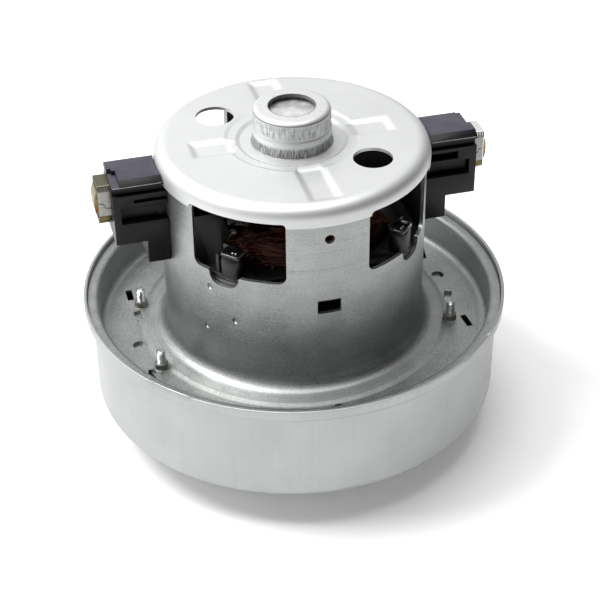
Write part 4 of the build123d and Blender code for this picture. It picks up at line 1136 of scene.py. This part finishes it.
terminal_finish = metal_finish("terminal_tarnished", (0.06, 0.056, 0.06), 0.35, 0.4)
solder_and_highlight_finish = metal_finish("solder_and_painted_highlight", (0.8, 0.79, 0.76), 0.22, 0.4)
terminal_piece = pieced(terminals, "field_terminal_tabs", terminal_finish)
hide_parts("field_terminals")
pieced(rim_highlights_and_solder, "field_terminal_highlights_and_solder", solder_and_highlight_finish, 50)
pieced(leads, "field_coil_leads", copper_finish, 50)

# Armature: copper wire lies in the twelve slots and crosses over both ends of the core
# from slot to slot in a basket; the commutator is turned copper on a phenolic hub.
slot_count = 12
slot_span = 5
strand_radius = 0.55
strand_outer = 18.4
strand_step = 1.25
core_low = 43.0
core_high = 71.0
bundle_height = 5.2
bundle_radius = 15.5
bundle_hole = 6

winding = bmesh.new()
for slot in range(slot_count):
    for strand in range(5):
        seat_radius = strand_outer - strand * strand_step
        crown = 1.2 + 0.75 * strand + 1.2 * (slot % 3) / 2
        start, end = slot * 360 / slot_count, (slot + slot_span) * 360 / slot_count
        line = []
        for base, way in ((core_high + 0.2, 1), (core_low - 0.2, -1)):
            arch = []
            for step in range(15):
                share = step / 14
                bulge = sin(pi * share)
                radius = seat_radius - (seat_radius - 7.2 - strand * 0.5) * bulge**0.8
                height = base + way * crown * bulge**0.5
                arch.append(polar(radius, start + (end - start) * share, height))
            line.extend(arch if way > 0 else arch[::-1])
        add_wire(winding, line, strand_radius, True)
for low in (core_low - bundle_height, core_high):
    high = low + bundle_height
    corners = [
        (bundle_hole, low, 0),
        (bundle_radius, low, 1.5),
        (bundle_radius, high, 1.5),
        (bundle_hole, high, 0),
    ]
    gather(winding, turned(corners, 48, closed=True))
winding_piece = pieced(winding, "armature_strands", copper_finish, 50, "rotor")
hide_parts("armature_windings")
bar_finish = metal_finish("commutator_turned", (0.50, 0.25, 0.15), 0.3, 0.3, (12, 12, 1))
dressed(bar_finish, "commutator_bars")
dressed(moulded_finish("hub_phenolic", (0.09, 0.07, 0.06), 0.5, 0.3), "commutator_hub")

# Brush holders: black thermoset mouldings, pushed against the can. Tops painted paler, dust
# and painted sheen; a pale wire along each side below the top is a painted highlight.
brush_azimuths = {"right": 0, "left": 180}
holder_inside = 38.0
dust_and_sheen_height = 94.0
highlight_side = 7.98
highlight_level = 95.34
highlight_radius = 0.15
holder_colour = (0.008, 0.007, 0.008)
holder_dust_and_sheen = (0.062, 0.060, 0.080)
holder_finish, tree, shader = finish_of("holder_thermoset", holder_colour, 0.0, 0.36)
shader.inputs["Specular IOR Level"].default_value = 0.25
x, _, z = parted(tree, place_of(tree))
# The ends inside the can are left without any sheen, as nothing lights them there.
inside = worked(tree, "LESS_THAN", worked(tree, "ABSOLUTE", x), holder_inside * mm)
tree.links.new(inside, shader.inputs["Metallic"])
# painted sheen: upward faces near the top are painted paler, partly dust and partly the light they
# reflect
facing = tree.nodes.new("ShaderNodeNewGeometry")
upturned = eased(tree, parted(tree, facing.outputs["Normal"])[2], 0.8, 0.97)
on_top = worked(
    tree, "MULTIPLY", upturned, eased(tree, z, dust_and_sheen_height * mm, (dust_and_sheen_height + 1) * mm)
)
patches = eased(tree, grain(tree, place_of(tree), 4, 3), 0.3, 0.7, 0.8, 1)
dust_and_sheen_share = worked(tree, "MULTIPLY", on_top, patches)
marks = grain(tree, place_of(tree), 0.3, 3)
coloured(tree, shader, tinted(tree, dust_and_sheen_share, holder_colour, holder_dust_and_sheen), marks, 0.3, 0.45)
raised(tree, shader, marks, 0.01, 0.5)
# painted highlight: the pale colour of the wires along the holders' sides
highlight_finish = moulded_finish("holder_painted_highlight", (0.30, 0.30, 0.32), 0.35, 0.3)
# painted shade and painted highlight: one tube part, coloured dark for the left holder and bright
# for the right one
shaded_tube_material = metal_finish("tube_painted_shade", (0.17, 0.16, 0.12), 0.4, 0.5)
lit_tube_material = metal_finish("tube_painted_highlight", (0.86, 0.86, 0.85), 0.45, 0.5)
carbon_finish = moulded_finish("carbon_pressed", (0.05, 0.05, 0.055), 0.55, 0.2, 0.03)
spring_finish = metal_finish("spring_wire", (0.42, 0.42, 0.43), 0.28, 0.3)
for side, azimuth in brush_azimuths.items():
    holder = softened(f"{side}_brush_holder", 0.22)
    holder_piece = pieced(holder, f"{side}_holder_moulding", holder_finish)
    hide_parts(f"{side}_brush_holder")
    # painted highlight: a thin pale wire along each side stands in for the light caught by the edge
    # below the top
    highlight_lines = bmesh.new()
    for toward in (-1, 1):
        line = [(x, toward * highlight_side, highlight_level) for x in (42.2, 49.0, 56.8)]
        add_wire(highlight_lines, line, highlight_radius)
    bmesh.ops.transform(highlight_lines, matrix=swung(azimuth), verts=highlight_lines.verts)
    pieced(highlight_lines, f"{side}_holder_highlight_lines", highlight_finish, 50)
    # painted shade on the left tube, painted highlight on the right one
    dressed(shaded_tube_material if side == "left" else lit_tube_material, f"{side}_brush_tube")
    dressed(carbon_finish, f"{side}_carbon_brush")

# Tinned clips: a strip bent round the tube's end, slit on both sides, with a comb of
# teeth along its upper edges, a domed end and a brass foot. The end shows bare metal.
clip_root = 57.1
clip_end = 61.0
clip_side = 4.1
clip_foot = 82.3
clip_low = 84.3
clip_high = 92.6
clip_sheet = 0.3
comb_count = 5
tooth_pitch = 0.78
tooth_lean = 16


def strip(corners, low, high, wall):
    """A strip bent along a line in plan, standing from low to high, its wall to the left."""
    sheet = bent_line(corners)
    bmesh.ops.translate(sheet, verts=sheet.verts, vec=(0, -low * mm, 0))
    pushed = bmesh.ops.extrude_edge_only(sheet, edges=sheet.edges[:])
    ends = [part for part in pushed["geom"] if isinstance(part, bmesh.types.BMVert)]
    bmesh.ops.translate(sheet, verts=ends, vec=(0, (low - high) * mm, 0))
    bmesh.ops.transform(sheet, verts=sheet.verts, matrix=Matrix.Rotation(-pi / 2, 4, "X"))
    bmesh.ops.recalc_face_normals(sheet, faces=sheet.faces)
    bmesh.ops.solidify(sheet, geom=sheet.faces[:], thickness=wall * mm)
    return sheet


clip = strip(
    [
        (clip_root, clip_side, 0),
        (clip_end, clip_side, 0.9),
        (clip_end, -clip_side, 0.9),
        (clip_root, -clip_side, 0),
    ],
    clip_low,
    clip_high,
    clip_sheet,
)
slit = [
    (clip_end + 0.6, 88.75, 0),
    (59.7, 88.75, 0),
    (59.0, 88.3, 0),
    (58.95, 87.5, 0),
    (58.5, 87.05, 0),
    (clip_root - 0.3, 86.9, 0),
    (clip_root - 0.3, 86.65, 0),
    (58.6, 86.8, 0),
    (59.2, 87.4, 0),
    (59.25, 88.15, 0),
    (59.8, 88.5, 0),
    (clip_end + 0.6, 88.5, 0),
]
tools = bmesh.new()
for near in (-6, 3):
    gather(tools, prism(slit, near, near + 3))
clip = pierced(clip, tools)
foot = block((clip_end - clip_root, 2 * clip_side - 0.2, clip_low - clip_foot + 0.2), 0.3)
gather(clip, foot, moved((clip_root + clip_end) / 2, 0, (clip_foot + clip_low) / 2))
crown = prism(
    [
        (clip_end - 0.4, 83.2, 0),
        (clip_end + 0.1, 83.4, 0.2),
        (clip_end + 0.8, 85.6, 1.5),
        (clip_end + 1.0, 88.0, 3),
        (clip_end + 0.8, 90.4, 1.5),
        (clip_end + 0.1, 92.4, 0.2),
        (clip_end - 0.4, 92.6, 0),
    ],
    -3.2,
    3.2,
)
gather(clip, crown)
tooth = block((0.42, 0.42, 1.5), 0.08)
for toward in (-1, 1):
    for place in range(comb_count):
        lean = Matrix.Rotation(radians(tooth_lean) * toward, 4, "X")
        across = clip_root + 0.5 + place * tooth_pitch
        gather(clip, tooth, moved(across, toward * 3.88, clip_high + 0.65) @ lean)

clip_finish, tree, shader = finish_of("clip_tinned", (0.43, 0.425, 0.41), 1.0, 0.34)
x, _, z = parted(tree, place_of(tree))
smear = grain(tree, place_of(tree), 1.2, 3)
ragged = worked(tree, "MULTIPLY", smear, 0.6 * mm)
reach = worked(tree, "ADD", worked(tree, "ABSOLUTE", x), ragged)
bare_share = eased(tree, reach, 61.3 * mm, 61.5 * mm)
bare = tinted(tree, eased(tree, z, 89 * mm, 86 * mm), (0.22, 0.17, 0.07), (0.20, 0.07, 0.03))
plain = tinted(tree, eased(tree, smear), (0.22, 0.22, 0.21), (0.31, 0.31, 0.295))
foot_share = eased(tree, z, (clip_low + 0.05) * mm, (clip_low - 0.05) * mm)
plain = tinted(tree, foot_share, plain, (0.13, 0.11, 0.05))
coloured(tree, shader, tinted(tree, bare_share, plain, bare), smear, 0.26, 0.42)
raised(tree, shader, smear, 0.02, 0.4)
for side, azimuth in brush_azimuths.items():
    placed = bmesh.new()
    gather(placed, clip, swung(azimuth))
    clip_piece = pieced(placed, f"{side}_tinned_clip", clip_finish)
    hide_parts(f"{side}_brush_clip")

# Brush springs: coil springs between each carbon brush and its clip. In the motor they
# shorten as the brush slides out.
spring_start = 41.5
spring_end = 60.7
spring_mean = 2.05
spring_wire = 0.4
spring_turns = 11
spring_steps = spring_turns * 16
brush_height = 88.0
for side, azimuth in brush_azimuths.items():
    coil_line = []
    for step in range(spring_steps + 1):
        share = step / spring_steps
        angle = share * spring_turns * tau
        out = spring_start + spring_wire + (spring_end - spring_start - 2 * spring_wire) * share
        rise = brush_height + spring_mean * sin(angle)
        coil_line.append((out, spring_mean * cos(angle), rise))
    spring = bmesh.new()
    add_wire(spring, coil_line, spring_wire)
    bmesh.ops.transform(spring, matrix=swung(azimuth), verts=spring.verts)
    spring_piece = pieced(spring, f"{side}_spring_coil", spring_finish, 50)
    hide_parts(f"{side}_brush_spring")
    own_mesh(spring_piece)


low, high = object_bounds()
